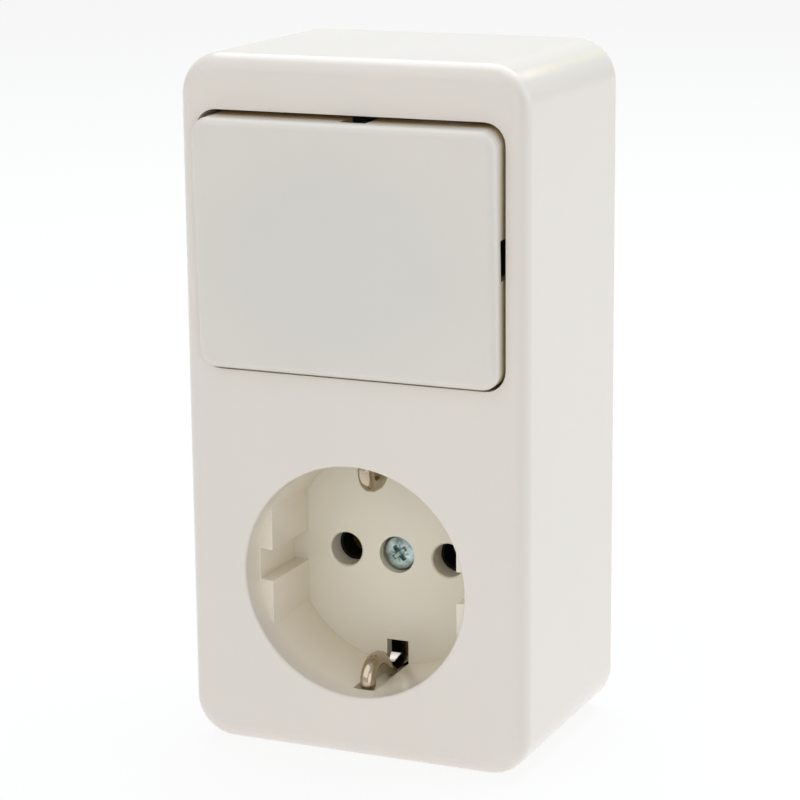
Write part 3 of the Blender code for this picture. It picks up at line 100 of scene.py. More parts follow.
# The floor, and the share of it that glows where it is seen and where it lights the object
FLOOR_SIZE = 6.0
FLOOR_Z = CAD_BOUNDS[0][2] - 0.0002
FLOOR_GREY = (0.88, 0.88, 0.88, 1.0)
FLOOR_ROUGHNESS = 0.8
FLOOR_GLOSS = 0.1
SEEN_GLOW = 0.85
BOUNCED_GLOW = 0.64
GLOW_STRENGTH = 1.25
GLOW_LESS_TO_CAMERA = 0.25

# Painted light and shade by depth behind the cover's front: painted light just inside its
# openings, painted shade deeper, and a slight cool painted shade on the cup's floor
CUP_PAINTED_LIGHT_AND_SHADE = (
    {"Tint": (1.19, 1.18, 1.12, 1.0), "Start": FRONT + 0.0005, "Reach": 0.0045},
    {"Tint": (0.93, 0.92, 0.87, 1.0), "Start": FRONT + 0.0065, "Reach": 0.010},
    {"Tint": (0.95, 0.97, 1.00, 1.0), "Start": FRONT + 0.0177, "Reach": 0.0003})

# The rocker's sides: painted warm shade on them, and a painted warm glow that they emit into the
# gap, standing in for light that comes through them
ROCKER_SIDE_PAINTED_SHADE = (
    {"Tint": (0.85, 0.70, 0.47, 1.0), "Start": FRONT - 0.0015, "Reach": 0.0024},)
GAP_PAINTED_GLOW = (0.014, 0.008, 0.002)
GAP_PAINTED_GLOW_DEPTH = {"Start": FRONT - 0.0006, "Reach": 0.0012}

# The painted light and shade by depth stays this far in from the cover's outline, and fades in
# over a short way
TONE_MARGIN = 0.0013
TONE_FADE = 0.0006

# The oval of painted reflection on the rocker's face, a cooler and darker patch, the shares of its
# radii between which that fades out, and its tint
REFLECTION_CENTRE = (-0.001, 0.0, 0.026)
REFLECTION_RADII = (0.025, 1.0, 0.019)
REFLECTION_FULL, REFLECTION_GONE = 0.55, 1.25
REFLECTION_TINT = (0.955, 0.974, 0.992)

# Light inside the plastic, and the thin gloss on it
SCATTER_RADIUS = (1.0, 0.7, 0.4)
SCATTER_SCALE = 0.0012
GLOSS_ROUGHNESS = 0.08

# Finished copies: node, body and width of the broken edges
FINISHED = (("cover", "housing", 0.00012), ("rocker", "rocker_unit", 0.0001),
            ("earth_bracket", "housing", 0.00008), ("base_plate", "housing", 0.0001))
SAME_POINT = 0.000002
FLAT = radians(0.4)

# The centre screw's head and seat
HEAD_RIM = 0.00028
HEAD_RIM_DEPTH = 0.00018
HEAD_DOME = 0.00030
HEAD_HEIGHT = 0.002
SEAT_EDGE = 0.00012
HEAD_TURN = radians(41.0)

# Its cross recess: four sloping arms, a deeper middle and four ticks
ARM_HALF_WIDTH = 0.00042
ARM_NARROWING = 0.00008 / 0.0017
ARM_REACH = 0.00155
ARM_SLOPE_REACH = 0.0016
ARM_DEPTH = 0.0014
ARM_START_SHARE = 1.15
ARM_SIDE = 0.00012
ARM_END = 0.00015
MIDDLE_RADIUS = 0.00075
MIDDLE_DEPTH = 0.0013
MIDDLE_SIDE = 0.0003
TICK_HALF_WIDTH = 0.00011
TICK_SIDE = 0.00009
TICK_FROM, TICK_TO = 0.0007, 0.0017
TICK_END = 0.0002
TICK_DEPTH = 0.00018

# Its shank and thread
CORE_RADIUS = 0.00128
THREAD_HEIGHT = 0.0002
THREAD_PITCH = 0.0008
THREAD_SHARPNESS = 3.2
UNDER_HEAD = 0.0001
TIP_LENGTH = 0.0015
TIP_SHARE = 0.35
TIP_ROUND = 0.0003
TIP_RADIUS = 0.0002

# How finely it is drawn: points round it, and rings on the head, the rim and the shank
SCREW_POINTS = 160
HEAD_MIDDLE = 0.00002
HEAD_RINGS, RIM_RINGS, SHANK_RINGS = 60, 8, 90

# The bent tabs put on the legs of the earth bracket, in a lighter copy of the nickel as a painted
# highlight in their slots
TAB_LEG = 0.0190
TAB_RISE = 0.0015
TAB_LEFT = -0.0012
TAB_RIGHT = -0.0004
TAB_TAPER = 0.0010
TAB_PROUD = 0.0031
TAB_LEAN = 0.0008
TAB_THICKNESS = 0.00035
TAB_DROP = 0.00012
TAB_ROWS, TAB_COLUMNS = 10, 8


def add_camera():
    """The camera at the photograph's angle."""
    back = Vector((sin(AZIMUTH) * cos(ELEVATION), -cos(AZIMUTH) * cos(ELEVATION), sin(ELEVATION)))
    level = Vector((cos(AZIMUTH), sin(AZIMUTH), 0.0))
    upright = back.cross(level)
    across = level * cos(ROLL) + upright * sin(ROLL)
    up = upright * cos(ROLL) - level * sin(ROLL)
    turn = Matrix((across, up, back)).transposed()
    data = bpy.data.cameras.new("camera")
    data.sensor_width = SENSOR_MM
    data.lens = FOCAL_PIXELS * SENSOR_MM / PICTURE_PIXELS
    data.clip_start = NEAREST_SEEN
    data.clip_end = FARTHEST_SEEN
    camera = bpy.data.objects.new("camera", data)
    bpy.context.scene.collection.objects.link(camera)
    camera.matrix_world = Matrix.Translation(TARGET + back * DISTANCE) @ turn.to_4x4()
    bpy.context.scene.camera = camera


def add_lamp(name, place, size, power, colour):
    """One soft rectangular lamp, which lights the object and isn't seen itself."""
    data = bpy.data.lights.new(name, "AREA")
    data.shape = "RECTANGLE"
    data.size, data.size_y = size
    data.energy = power
    data.color = colour
    lamp = bpy.data.objects.new(name, data)
    bpy.context.scene.collection.objects.link(lamp)
    lamp.location = place
    lamp.rotation_euler = (Vector(LAMP_AIM) - Vector(place)).to_track_quat("-Z", "Y").to_euler()
    lamp.visible_camera = False


def feed(tree, socket, value):
    """Give an input its value: another node's output, or a plain number, vector or colour."""
    if isinstance(value, bpy.types.NodeSocket):
        tree.links.new(value, socket)
    elif value is not None:
        socket.default_value = value


def math_node(tree, operation, first, second=None, clamp=False):
    """One Math node fed by sockets or numbers."""
    node = tree.nodes.new("ShaderNodeMath")
    node.operation = operation
    node.use_clamp = clamp
    feed(tree, node.inputs[0], first)
    feed(tree, node.inputs[1], second)
    return node.outputs[0]


def vector_node(tree, operation, first, second=None, scale=None):
    """One Vector Math node fed by sockets, vectors or, for its scale, a number."""
    node = tree.nodes.new("ShaderNodeVectorMath")
    node.operation = operation
    feed(tree, node.inputs[0], first)
    feed(tree, node.inputs[1], second)
    if scale is not None:
        feed(tree, node.inputs["Scale"], scale)
    return node


def weighted(tree, first, second, share):
    """share of the first value and the rest of the second."""
    return math_node(tree, "ADD", math_node(tree, "MULTIPLY", first, share),
                     math_node(tree, "MULTIPLY", second, 1 - share))


def ranged(tree, value, low, high, start=0.0, stop=1.0, smooth=False):
    """A value from start to stop mapped to low to high."""
    node = tree.nodes.new("ShaderNodeMapRange")
    if smooth:
        node.interpolation_type = "SMOOTHSTEP"
    feed(tree, node.inputs["Value"], value)
    feed(tree, node.inputs["From Min"], start)
    feed(tree, node.inputs["From Max"], stop)
    feed(tree, node.inputs["To Min"], low)
    feed(tree, node.inputs["To Max"], high)
    return node.outputs[0]


def mixed_colour(tree, share, first, second):
    """The first colour going over to the second as share goes from 0 to 1."""
    node = tree.nodes.new("ShaderNodeMix")
    node.data_type = "RGBA"
    feed(tree, node.inputs["Factor"], share)
    feed(tree, node.inputs["A"], first)
    feed(tree, node.inputs["B"], second)
    return node.outputs["Result"]


def noise_node(tree, vector, scale, detail, roughness=0.5, stretch=None):
    """One Noise texture on the given coordinates, which may be stretched first."""
    if stretch:
        mapping = tree.nodes.new("ShaderNodeMapping")
        feed(tree, mapping.inputs["Scale"], stretch)
        feed(tree, mapping.inputs["Vector"], vector)
        vector = mapping.outputs[0]
    node = tree.nodes.new("ShaderNodeTexNoise")
    feed(tree, node.inputs["Vector"], vector)
    feed(tree, node.inputs["Scale"], scale)
    feed(tree, node.inputs["Detail"], detail)
    feed(tree, node.inputs["Roughness"], roughness)
    return node.outputs["Fac"]


def add_seen_share(tree):
    """A Light Path node, and 1 for rays from the camera, a mirror or glass, else 0."""
    path = tree.nodes.new("ShaderNodeLightPath")
    seen = math_node(tree, "MAXIMUM", path.outputs["Is Camera Ray"], path.outputs["Is Glossy Ray"])
    seen = math_node(tree, "MAXIMUM", seen, path.outputs["Is Transmission Ray"])
    return path, seen


def add_shader_mix(tree, share, first, second, out):
    """Send the first shader, going over to the second by share, to the output."""
    mix = tree.nodes.new("ShaderNodeMixShader")
    feed(tree, mix.inputs["Fac"], share)
    feed(tree, mix.inputs[1], first.outputs[0])
    feed(tree, mix.inputs[2], second.outputs[0])
    feed(tree, out.inputs["Surface"], mix.outputs[0])


def add_lights():
    """A pale studio: an even world that looks white, and the soft lamps."""
    world = bpy.data.worlds.new("studio")
    bpy.context.scene.world = world
    world.use_nodes = True
    tree = world.node_tree
    tree.nodes.clear()
    out = tree.nodes.new("ShaderNodeOutputWorld")
    light = tree.nodes.new("ShaderNodeBackground")
    light.inputs["Color"].default_value = WORLD_GREY
    light.inputs["Strength"].default_value = WORLD_LIGHT
    shown = tree.nodes.new("ShaderNodeBackground")
    shown.inputs["Color"].default_value = WHITE
    path, seen = add_seen_share(tree)
    bright = math_node(tree, "MAXIMUM", path.outputs["Is Camera Ray"], WORLD_MIRRORED)
    feed(tree, shown.inputs["Strength"], bright)
    add_shader_mix(tree, seen, light, shown, out)
    for lamp in LAMPS:
        add_lamp(*lamp)


def add_floor():
    """A wide pale floor that the camera sees as white, with the object's shadow on it."""
    bpy.ops.mesh.primitive_plane_add(size=FLOOR_SIZE, location=(0.0, 0.0, FLOOR_Z))
    floor = bpy.context.object
    floor.name = "floor"
    made = bpy.data.materials.new("floor")
    made.use_nodes = True
    tree = made.node_tree
    shader = tree.nodes["Principled BSDF"]
    shader.inputs["Base Color"].default_value = FLOOR_GREY
    shader.inputs["Roughness"].default_value = FLOOR_ROUGHNESS
    shader.inputs["Specular IOR Level"].default_value = FLOOR_GLOSS
    glow = tree.nodes.new("ShaderNodeEmission")
    path, seen = add_seen_share(tree)
    less = math_node(tree, "MULTIPLY", path.outputs["Is Camera Ray"], GLOW_LESS_TO_CAMERA)
    feed(tree, glow.inputs["Strength"], math_node(tree, "SUBTRACT", GLOW_STRENGTH, less))
    share = math_node(tree, "MAXIMUM", math_node(tree, "MULTIPLY", seen, SEEN_GLOW),
                      math_node(tree, "MULTIPLY", path.outputs["Is Diffuse Ray"], BOUNCED_GLOW))
    add_shader_mix(tree, share, shader, glow, tree.nodes["Material Output"])
    floor.data.materials.append(made)


def new_group(name, inputs, outputs):
    """An empty shader node group with its sockets and its two end nodes."""
    group = bpy.data.node_groups.new(name, "ShaderNodeTree")
    for direction, sockets in (("INPUT", inputs), ("OUTPUT", outputs)):
        for label, socket_type, value in sockets:
            socket = group.interface.new_socket(label, in_out=direction, socket_type=socket_type)
            if value is not None:
                socket.default_value = value
    return group, group.nodes.new("NodeGroupInput"), group.nodes.new("NodeGroupOutput")


def group_node(tree, group, settings):
    """One node of a group, with its own values."""
    node = tree.nodes.new("ShaderNodeGroup")
    node.node_tree = group
    for label, value in settings.items():
        node.inputs[label].default_value = value
    return node


def object_place(tree):
    """The place on the piece in the part's frame, in metres."""
    return tree.nodes.new("ShaderNodeTexCoord").outputs["Object"]


def make_moulding_group():
    """Moulded plastic: a cloudy tone with faint upright streaks, orange peel and fine grain.

    colour = base * (1 - 2 mottle .. 1 + 2 mottle) by 0.7 cloud + 0.3 streak,
    roughness = base - 0.06 .. base + 0.06 by 0.5 cloud + 0.5 grain,
    height = 0.7 peel + 0.3 grain, each a noise on object coordinates in metres.
    """
    group, start, end = new_group(
        "moulding",
        [("Colour", "NodeSocketColor", (0.8, 0.8, 0.8, 1.0)),
         ("Roughness", "NodeSocketFloat", 0.35),
         ("Mottle", "NodeSocketFloat", 0.03),
         ("Grain", "NodeSocketFloat", 2500.0)],
        [("Colour", "NodeSocketColor", None), ("Roughness", "NodeSocketFloat", None),
         ("Height", "NodeSocketFloat", None)])
    place = object_place(group)
    cloud = noise_node(group, place, scale=55.0, detail=3.0)
    streak = noise_node(group, place, scale=120.0, detail=2.0, roughness=0.6,
                        stretch=(1.0, 1.0, 0.3))
    peel = noise_node(group, place, scale=650.0, detail=2.0)
    grain = noise_node(group, place, scale=start.outputs["Grain"], detail=2.0)
    half = math_node(group, "MULTIPLY", start.outputs["Mottle"], 2.0)
    tone = ranged(group, weighted(group, cloud, streak, 0.7),
                  math_node(group, "SUBTRACT", 1.0, half), math_node(group, "ADD", 1.0, half))
    colour = vector_node(group, "SCALE", start.outputs["Colour"], scale=tone)
    feed(group, end.inputs["Colour"], colour.outputs["Vector"])
    spread = ranged(group, weighted(group, cloud, grain, 0.5), -0.06, 0.06)
    rough = math_node(group, "ADD", start.outputs["Roughness"], spread, clamp=True)
    feed(group, end.inputs["Roughness"], rough)
    feed(group, end.inputs["Height"], weighted(group, peel, grain, 0.7))
    return group


def make_metal_group():
    """Small metal parts: a drawn or tumbled finish with fine lines, smudges and dull spots.

    colour = base * (1 - tarnish .. 1) as the smudges go from 0.3 to 0.7,
    roughness = base - 0.10 .. base + 0.14 by 0.5 lines + 0.5 spots,
    height = 0.6 lines + 0.4 spots, where the lines are a noise stretched by Lines.
    """
    group, start, end = new_group(
        "metal_finish",
        [("Colour", "NodeSocketColor", (0.6, 0.6, 0.6, 1.0)),
         ("Roughness", "NodeSocketFloat", 0.25),
         ("Lines", "NodeSocketVector", (1.0, 1.0, 1.0)),
         ("Tarnish", "NodeSocketFloat", 0.12)],
        [("Colour", "NodeSocketColor", None), ("Roughness", "NodeSocketFloat", None),
         ("Height", "NodeSocketFloat", None)])
    place = object_place(group)
    drawn = vector_node(group, "MULTIPLY", place, start.outputs["Lines"]).outputs["Vector"]
    lines = noise_node(group, drawn, scale=5200.0, detail=2.0, roughness=0.6)
    smudge = noise_node(group, place, scale=420.0, detail=4.0, roughness=0.6)
    spots = noise_node(group, place, scale=1600.0, detail=2.0)
    low = math_node(group, "SUBTRACT", 1.0, start.outputs["Tarnish"])
    tone = ranged(group, smudge, low, 1.0, start=0.3, stop=0.7)
    colour = vector_node(group, "SCALE", start.outputs["Colour"], scale=tone)
    feed(group, end.inputs["Colour"], colour.outputs["Vector"])
    spread = ranged(group, weighted(group, lines, spots, 0.5), -0.1, 0.14)
    rough = math_node(group, "ADD", start.outputs["Roughness"], spread, clamp=True)
    feed(group, end.inputs["Roughness"], rough)
    feed(group, end.inputs["Height"], weighted(group, lines, spots, 0.6))
    return group


def make_shade_group():
    """Painted light and shade inside a hollow, by the depth behind the front, and the mask it
    follows.

    mask = ramp((y - Start) / Reach) * ramp((Half Width - |x|) / fade)
           * ramp((Half Height - |z|) / fade), colour = base to base * Tint by the mask.
    """
    group, start, end = new_group(
        "painted_hollow_shading",
        [("Colour", "NodeSocketColor", (0.8, 0.8, 0.8, 1.0)),
         ("Tint", "NodeSocketColor", (1.0, 0.9, 0.8, 1.0)),
         ("Start", "NodeSocketFloat", FRONT),
         ("Reach", "NodeSocketFloat", 0.002),
         ("Half Width", "NodeSocketFloat", COVER_HIGH[0] - TONE_MARGIN),
         ("Half Height", "NodeSocketFloat", COVER_HIGH[2] - TONE_MARGIN)],
        [("Colour", "NodeSocketColor", None), ("Mask", "NodeSocketFloat", None)])
    axes = group.nodes.new("ShaderNodeSeparateXYZ")
    feed(group, axes.inputs[0], object_place(group))
    behind = math_node(group, "SUBTRACT", axes.outputs["Y"], start.outputs["Start"])
    mask = math_node(group, "DIVIDE", behind, start.outputs["Reach"], clamp=True)
    for axis, label in (("X", "Half Width"), ("Z", "Half Height")):
        away = math_node(group, "ABSOLUTE", axes.outputs[axis])
        inside = math_node(group, "SUBTRACT", start.outputs[label], away)
        edge = math_node(group, "DIVIDE", inside, TONE_FADE, clamp=True)
        mask = math_node(group, "MULTIPLY", mask, edge)
    feed(group, end.inputs["Mask"], mask)
    colour = start.outputs["Colour"]
    tinted = vector_node(group, "MULTIPLY", colour, start.outputs["Tint"]).outputs["Vector"]
    feed(group, end.inputs["Colour"], mixed_colour(group, mask, colour, tinted))
    return group


def painted_reflection_patch(tree, colour):
    """A painted reflection: a cooler, slightly darker oval on the rocker's face, fading out at its
    rim.

    r = |((x, z) - centre) / radii|, share = 1 - smooth ramp of r from full to gone.
    """
    mapping = tree.nodes.new("ShaderNodeMapping")
    mapping.vector_type = "TEXTURE"
    feed(tree, mapping.inputs["Location"], REFLECTION_CENTRE)
    feed(tree, mapping.inputs["Scale"], REFLECTION_RADII)
    feed(tree, mapping.inputs["Vector"], object_place(tree))
    flat = vector_node(tree, "MULTIPLY", mapping.outputs[0], (1.0, 0.0, 1.0)).outputs["Vector"]
    far = vector_node(tree, "LENGTH", flat).outputs["Value"]
    share = ranged(tree, far, 1.0, 0.0, start=REFLECTION_FULL, stop=REFLECTION_GONE, smooth=True)
    dull = vector_node(tree, "MULTIPLY", colour, REFLECTION_TINT).outputs["Vector"]
    return mixed_colour(tree, share, colour, dull)


def finish_material(name, group, settings, relief, metallic=0.0, ior=1.46, subsurface=0.0,
                    coat=0.0, painted_shading=(), painted_reflection=False, painted_glow=None):
    """A Principled material fed by one finish group, its colour given painted light and shade in
    hollows if asked.

    relief is the Bump's strength and distance. The last argument is the colour of a painted
    glow, emitted in the gap behind the front, that stands in for light coming through thin walls.
    """
    made = bpy.data.materials.new(name)
    made.use_nodes = True
    tree = made.node_tree
    shader = tree.nodes["Principled BSDF"]
    shader.inputs["Metallic"].default_value = metallic
    shader.inputs["IOR"].default_value = ior
    shader.inputs["Coat Weight"].default_value = coat
    shader.inputs["Coat Roughness"].default_value = GLOSS_ROUGHNESS
    if subsurface:
        shader.inputs["Subsurface Weight"].default_value = subsurface
        shader.inputs["Subsurface Radius"].default_value = SCATTER_RADIUS
        shader.inputs["Subsurface Scale"].default_value = SCATTER_SCALE
    finish = group_node(tree, group, settings)
    shade = bpy.data.node_groups["painted_hollow_shading"]
    colour = finish.outputs["Colour"]
    # Painted light and shade by depth in the hollows
    for tone in painted_shading:
        hollow = group_node(tree, shade, tone)
        feed(tree, hollow.inputs["Colour"], colour)
        colour = hollow.outputs["Colour"]
    # A painted glow in the gap behind the front
    if painted_glow:
        deep = group_node(tree, shade, GAP_PAINTED_GLOW_DEPTH)
        light = vector_node(tree, "SCALE", painted_glow, scale=deep.outputs["Mask"])
        feed(tree, shader.inputs["Emission Color"], light.outputs["Vector"])
        shader.inputs["Emission Strength"].default_value = 1.0
    # A painted reflection on the rocker's face
    if painted_reflection:
        colour = painted_reflection_patch(tree, colour)
    feed(tree, shader.inputs["Base Color"], colour)
    feed(tree, shader.inputs["Roughness"], finish.outputs["Roughness"])
    strength, distance = relief
    bump = tree.nodes.new("ShaderNodeBump")
    bump.inputs["Strength"].default_value = strength
    bump.inputs["Distance"].default_value = distance
    feed(tree, bump.inputs["Height"], finish.outputs["Height"])
    feed(tree, shader.inputs["Normal"], bump.outputs["Normal"])
    return made


def make_mouldings():
    """The plastics, by the record's slot name."""
    group = make_moulding_group()
    made = {}
    # The cover's plastic, with painted light just inside its openings and painted shade deeper in
    # its hollows
    made["ivory"] = finish_material(
        "ivory_moulding", group,
        {"Colour": (0.722, 0.677, 0.622, 1.0), "Roughness": 0.36, "Mottle": 0.012,
         "Grain": 2600.0}, relief=(0.10, 0.00003), subsurface=0.12, coat=0.35, painted_shading=CUP_PAINTED_LIGHT_AND_SHADE)
    # The rocker's plastic, with painted warm shade and a painted glow on its sides and a painted
    # reflection on its face
    made["rocker_ivory"] = finish_material(
        "rocker_moulding", group,
        {"Colour": (0.69, 0.657, 0.605, 1.0), "Roughness": 0.36, "Mottle": 0.012,
         "Grain": 2600.0}, relief=(0.09, 0.00003), subsurface=0.12, coat=0.2,
        painted_shading=ROCKER_SIDE_PAINTED_SHADE, painted_reflection=True, painted_glow=GAP_PAINTED_GLOW)
    made["base_white"] = finish_material(
        "base_moulding", group,
        {"Colour": (0.66, 0.65, 0.60, 1.0), "Roughness": 0.5, "Mottle": 0.03,
         "Grain": 1800.0}, relief=(0.3, 0.00006))
    made["grey_moulding"] = finish_material(
        "grey_moulding", group,
        {"Colour": (0.12, 0.125, 0.13, 1.0), "Roughness": 0.48, "Mottle": 0.05,
         "Grain": 1800.0}, relief=(0.3, 0.00006))
    made["black_moulding"] = finish_material(
        "black_moulding", group,
        {"Colour": (0.008, 0.007, 0.006, 1.0), "Roughness": 0.6, "Mottle": 0.05,
         "Grain": 1800.0}, relief=(0.3, 0.00006), ior=1.3)
    return made


def make_metals():
    """The metals, by the record's slot name, with the earth tabs' own lighter nickel, a painted
    highlight, and the screw head's own.
    """
    group = make_metal_group()
    made = {}
    made["nickel"] = finish_material(
        "nickel_strip", group,
        {"Colour": (0.50, 0.43, 0.32, 1.0), "Roughness": 0.10, "Lines": (3.0, 0.35, 0.35),
         "Tarnish": 0.3}, relief=(0.10, 0.00003), metallic=1.0)
    # A lighter copy of the nickel, a painted highlight for the tabs in the slots
    made["tab"] = finish_material(
        "nickel_painted_highlight", group,
        {"Colour": (0.92, 0.90, 0.86, 1.0), "Roughness": 0.35, "Lines": (3.0, 0.35, 0.35),
         "Tarnish": 0.1}, relief=(0.10, 0.00003), metallic=0.6)
    made["screw_head"] = finish_material(
        "worn_zinc", group,
        {"Colour": (0.53, 0.66, 0.64, 1.0), "Roughness": 0.16, "Lines": (5.0, 1.0, 0.3),
         "Tarnish": 0.72}, relief=(0.7, 0.00007), metallic=1.0)
    made["brass"] = finish_material(
        "brass_strip", group,
        {"Colour": (0.62, 0.44, 0.20, 1.0), "Roughness": 0.28, "Lines": (0.4, 3.0, 3.0),
         "Tarnish": 0.22}, relief=(0.15, 0.00003), metallic=1.0)
    made["zinc_steel"] = finish_material(
        "zinc_plate", group,
        {"Colour": (0.42, 0.54, 0.53, 1.0), "Roughness": 0.22, "Lines": (4.0, 1.0, 0.4),
         "Tarnish": 0.35}, relief=(0.35, 0.00004), metallic=1.0)
    made["spring_steel"] = finish_material(
        "spring_wire", group,
        {"Colour": (0.46, 0.46, 0.47, 1.0), "Roughness": 0.25, "Lines": (1.0, 1.0, 1.0),
         "Tarnish": 0.15}, relief=(0.1, 0.00002), metallic=1.0)
    return made


def dress_nodes(materials):
    """Give each CAD node its finish."""
    for name, thing in NODES.items():
        made = materials[SLOTS[name]]
        if not thing.material_slots:
            thing.data.materials.append(made)
        for holder in thing.material_slots:
            holder.material = made


def finished_copy(name, body, edge, angle=32.0):
    """A copy of a CAD node with its facets joined and its curves smooth.

    Edges sharper than the angle stay hard, and are broken by the edge's width unless it is 0.
    """
    source = NODES[name]
    mesh = source.data.copy()
    shape = bmesh.new()
    shape.from_mesh(mesh)
    bmesh.ops.remove_doubles(shape, verts=shape.verts, dist=SAME_POINT)
    bmesh.ops.dissolve_limit(shape, angle_limit=FLAT, verts=shape.verts, edges=shape.edges)
    shape.to_mesh(mesh)
    shape.free()
    mesh.shade_smooth()
    mesh.set_sharp_from_angle(angle=radians(angle))
    made = bpy.data.objects.new(name + "_finished", mesh)
    bpy.context.scene.collection.objects.link(made)
    if edge:
        broken = made.modifiers.new("broken_edges", "BEVEL")
        broken.width = edge
        broken.segments = 2
        broken.limit_method = "ANGLE"
        broken.angle_limit = radians(angle)
        broken.harden_normals = True
    even = made.modifiers.new("even_normals", "WEIGHTED_NORMAL")
    even.keep_sharp = True
    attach(made, body)
    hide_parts(name)
    return made


def make_plunger_spring():
    """The plunger's spring as one smooth wire, carried with the rocker unit."""
    made = finished_copy("plunger_spring", "rocker_unit", edge=0.0, angle=60.0)
    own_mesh(made)


def turn_outwards(mesh):
    """Make every face of a closed mesh point outwards."""
    shape = bmesh.new()
    shape.from_mesh(mesh)
    bmesh.ops.recalc_face_normals(shape, faces=shape.faces)
    shape.to_mesh(mesh)
    shape.free()


def new_solid(name, points, faces, material, sharp):
    """A closed, outward, smooth piece from points and faces, with edges past sharp kept hard."""
    mesh = bpy.data.meshes.new(name)
    mesh.from_pydata(points.tolist(), [], faces)
    mesh.validate()
    turn_outwards(mesh)
    mesh.shade_smooth()
    mesh.set_sharp_from_angle(angle=sharp)
    mesh.materials.append(material)
    made = bpy.data.objects.new(name, mesh)
    bpy.context.scene.collection.objects.link(made)
    return made


def ring_surface(radius, depth, centre):
    """Points and faces of a closed surface of rings about the Y direction.

    Row i, column j is the point at angle 2 pi j / n, radius[i, j] from the axis through centre
    and depth[i, j] along Y. The first and last rows are closed on their mean points.
    """
    rows, count = radius.shape
    angle = np.arange(count) * 2 * pi / count
    points = np.stack([centre[0] + radius * np.cos(angle), depth,
                       centre[1] + radius * np.sin(angle)], axis=-1).reshape(-1, 3)
    tips = np.array([[centre[0], depth[0].mean(), centre[1]],
                     [centre[0], depth[-1].mean(), centre[1]]])
    ring = np.arange(count)
    step = (ring + 1) % count
    row = np.arange(rows - 1)[:, None] * count
    here = row + ring
    over = row + step
    quads = np.stack([here, over, over + count, here + count], axis=-1).reshape(-1, 4)
    low = np.stack([np.full(count, rows * count), step, ring], axis=-1)
    last = (rows - 1) * count
    high = np.stack([np.full(count, rows * count + 1), last + ring, last + step], axis=-1)
    return np.vstack([points, tips]), quads.tolist() + low.tolist() + high.tolist()


def smooth_step(value):
    """0 below 0, 1 above 1, and 3 v^2 - 2 v^3 between."""
    value = np.clip(value, 0.0, 1.0)
    return value * value * (3 - 2 * value)


def cross_recess(x, z, turn):
    """Depth of a cross-head recess with sloping arms, ticks between them and a deeper middle.

    At u along an arm, its floor lies at arm depth * clip(start share - u / slope reach, 0, 1).
    Smooth steps end it at its sides, which narrow with u, and at its reach. The middle is a
    round pit, and a tick is a fine groove at 45 degrees to the arms.
    """
    deep = np.zeros_like(x)
    for k in range(2):
        way = turn + k * pi / 2
        along = np.abs(x * cos(way) + z * sin(way))
        aside = np.abs(z * cos(way) - x * sin(way))
        half = ARM_HALF_WIDTH - ARM_NARROWING * along
        side = smooth_step((half - aside) / ARM_SIDE + 0.5)
        floor = np.clip(ARM_START_SHARE - along / ARM_SLOPE_REACH, 0.0, 1.0)
        end = smooth_step((ARM_REACH - along) / ARM_END)
        deep = np.maximum(deep, ARM_DEPTH * floor * side * end)
        way += pi / 4
        along = np.abs(x * cos(way) + z * sin(way))
        aside = np.abs(z * cos(way) - x * sin(way))
        tick = smooth_step((TICK_HALF_WIDTH - aside) / TICK_SIDE + 0.5)
        tick = tick * smooth_step((along - TICK_FROM) / TICK_END)
        tick = tick * smooth_step((TICK_TO - along) / TICK_END)
        deep = np.maximum(deep, TICK_DEPTH * tick)
    middle = smooth_step((MIDDLE_RADIUS - np.hypot(x, z)) / MIDDLE_SIDE)
    return np.maximum(deep, MIDDLE_DEPTH * middle)


def round_rings(values):
    """Rings of one value each, as rows of equal numbers."""
    return np.repeat(np.atleast_1d(values)[:, None], SCREW_POINTS, axis=1)


def make_centre_screw(materials):
    """The zinc screw that holds the cover: a slightly domed head, a cross recess and a thread.

    Rows run from the middle of the head, y = front + rim depth - dome * (1 - (r / R)^2)
    + recess, out to its rounded rim, down its side, in under the head and down the shank,
    r = (core + ridge(angle / 2 pi + y / pitch)) * taper to the tip.
    """
    low, high = (Vector(corner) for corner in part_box("centre_screw"))
    centre = ((low.x + high.x) / 2, (low.z + high.z) / 2)
    head = (high.x - low.x) / 2
    rim_start = head - HEAD_RIM
    front, end = low.y, high.y
    seat = front + HEAD_HEIGHT
    angle = np.arange(SCREW_POINTS) * 2 * pi / SCREW_POINTS
    top_r = np.linspace(HEAD_MIDDLE, rim_start, HEAD_RINGS)[:, None]
    dome = HEAD_DOME - HEAD_DOME * (top_r / rim_start) ** 2
    recess = cross_recess(top_r * np.cos(angle), top_r * np.sin(angle), HEAD_TURN)
    top_y = front + HEAD_RIM_DEPTH - dome + recess
    bend = np.linspace(0.0, pi / 2, RIM_RINGS)[1:]
    rim_r = rim_start + HEAD_RIM * np.sin(bend)
    rim_y = front + HEAD_RIM_DEPTH + HEAD_RIM * (1 - np.cos(bend))
    shank_y = np.linspace(seat + UNDER_HEAD, end - TIP_ROUND, SHANK_RINGS)[:, None]
    turns = (angle / (2 * pi) + shank_y / THREAD_PITCH) % 1.0
    ridge = THREAD_HEIGHT * np.clip(1 - np.abs(turns - 0.5) * THREAD_SHARPNESS, 0.0, 1.0)
    taper = np.clip((end - shank_y) / TIP_LENGTH, TIP_SHARE, 1.0)
    radius = [round_rings(top_r[:, 0]), round_rings(rim_r), round_rings(head),
              round_rings(head - SEAT_EDGE), round_rings(CORE_RADIUS + UNDER_HEAD),
              (CORE_RADIUS + ridge) * taper, round_rings(TIP_RADIUS)]
    depth = [top_y, round_rings(rim_y), round_rings(seat - SEAT_EDGE), round_rings(seat),
             round_rings(seat), round_rings(shank_y[:, 0]), round_rings(end)]
    points, faces = ring_surface(np.vstack(radius), np.vstack(depth), centre)
    made = new_solid("centre_screw_finished", points, faces, materials["screw_head"],
                     sharp=radians(50.0))
    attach(made, "housing")
    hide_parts("centre_screw")


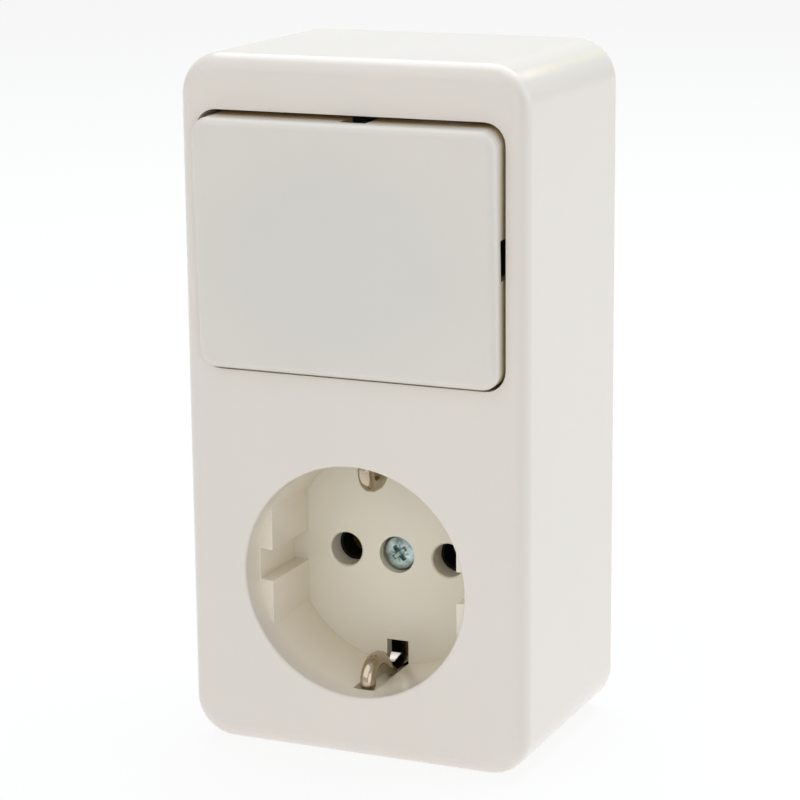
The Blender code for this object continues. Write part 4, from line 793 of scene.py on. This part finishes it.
def plate_faces(rows, cols):
    """Faces of a closed plate: a grid of rows by cols points, its copy behind it, and the rim."""
    here = (np.arange(rows - 1)[:, None] * cols + np.arange(cols - 1)).reshape(-1)
    face = np.stack([here, here + 1, here + 1 + cols, here + cols], axis=-1)
    rim = np.concatenate([np.arange(cols), np.arange(2, rows + 1) * cols - 1,
                          rows * cols - 2 - np.arange(cols - 1),
                          np.arange(rows - 2, 0, -1) * cols])
    on = np.roll(rim, -1)
    far = rows * cols
    walls = np.stack([rim, rim + far, on + far, on], axis=-1)
    return face.tolist() + (face[:, ::-1] + far).tolist() + walls.tolist()


def make_highlight_tabs(materials):
    """The bent tab on each leg of the earth bracket, a lighter copy of the nickel put there as a
    painted highlight inside its slot.

    With v from 0 at the leg to 1 at the tip, x runs from left to right + taper * v,
    y = socket base's front - proud + lean * v^2, and z is leg - rise * v from the middle.
    """
    low, high = (Vector(corner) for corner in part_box("earth_bracket"))
    middle = (low.z + high.z) / 2
    front_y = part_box("socket_base")[0][1] - TAB_PROUD
    up, across = np.meshgrid(np.linspace(0.0, 1.0, TAB_ROWS), np.linspace(0.0, 1.0, TAB_COLUMNS),
                             indexing="ij")
    x = TAB_LEFT + (TAB_RIGHT + TAB_TAPER * up - TAB_LEFT) * across
    y = front_y + TAB_LEAN * up ** 2
    for side, word in ((-1, "lower"), (1, "upper")):
        z = middle + side * (TAB_LEG - TAB_RISE * up)
        front = np.stack([x, y, z], axis=-1).reshape(-1, 3)
        back = front + np.array([0.0, TAB_THICKNESS, TAB_DROP * side])
        tab = new_solid("highlight_tab_" + word, np.vstack([front, back]),
                        plate_faces(TAB_ROWS, TAB_COLUMNS), materials["tab"],
                        sharp=radians(40.0))
        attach(tab, "housing")


def main():
    """Dress the frame and light it."""
    bpy.context.scene.view_settings.view_transform = "Standard"
    add_camera()
    add_lights()
    add_floor()
    make_shade_group()
    materials = make_mouldings() | make_metals()
    dress_nodes(materials)
    for name, body, edge in FINISHED:
        made = finished_copy(name, body, edge)
    make_plunger_spring()
    make_centre_screw(materials)
    make_highlight_tabs(materials)


main()
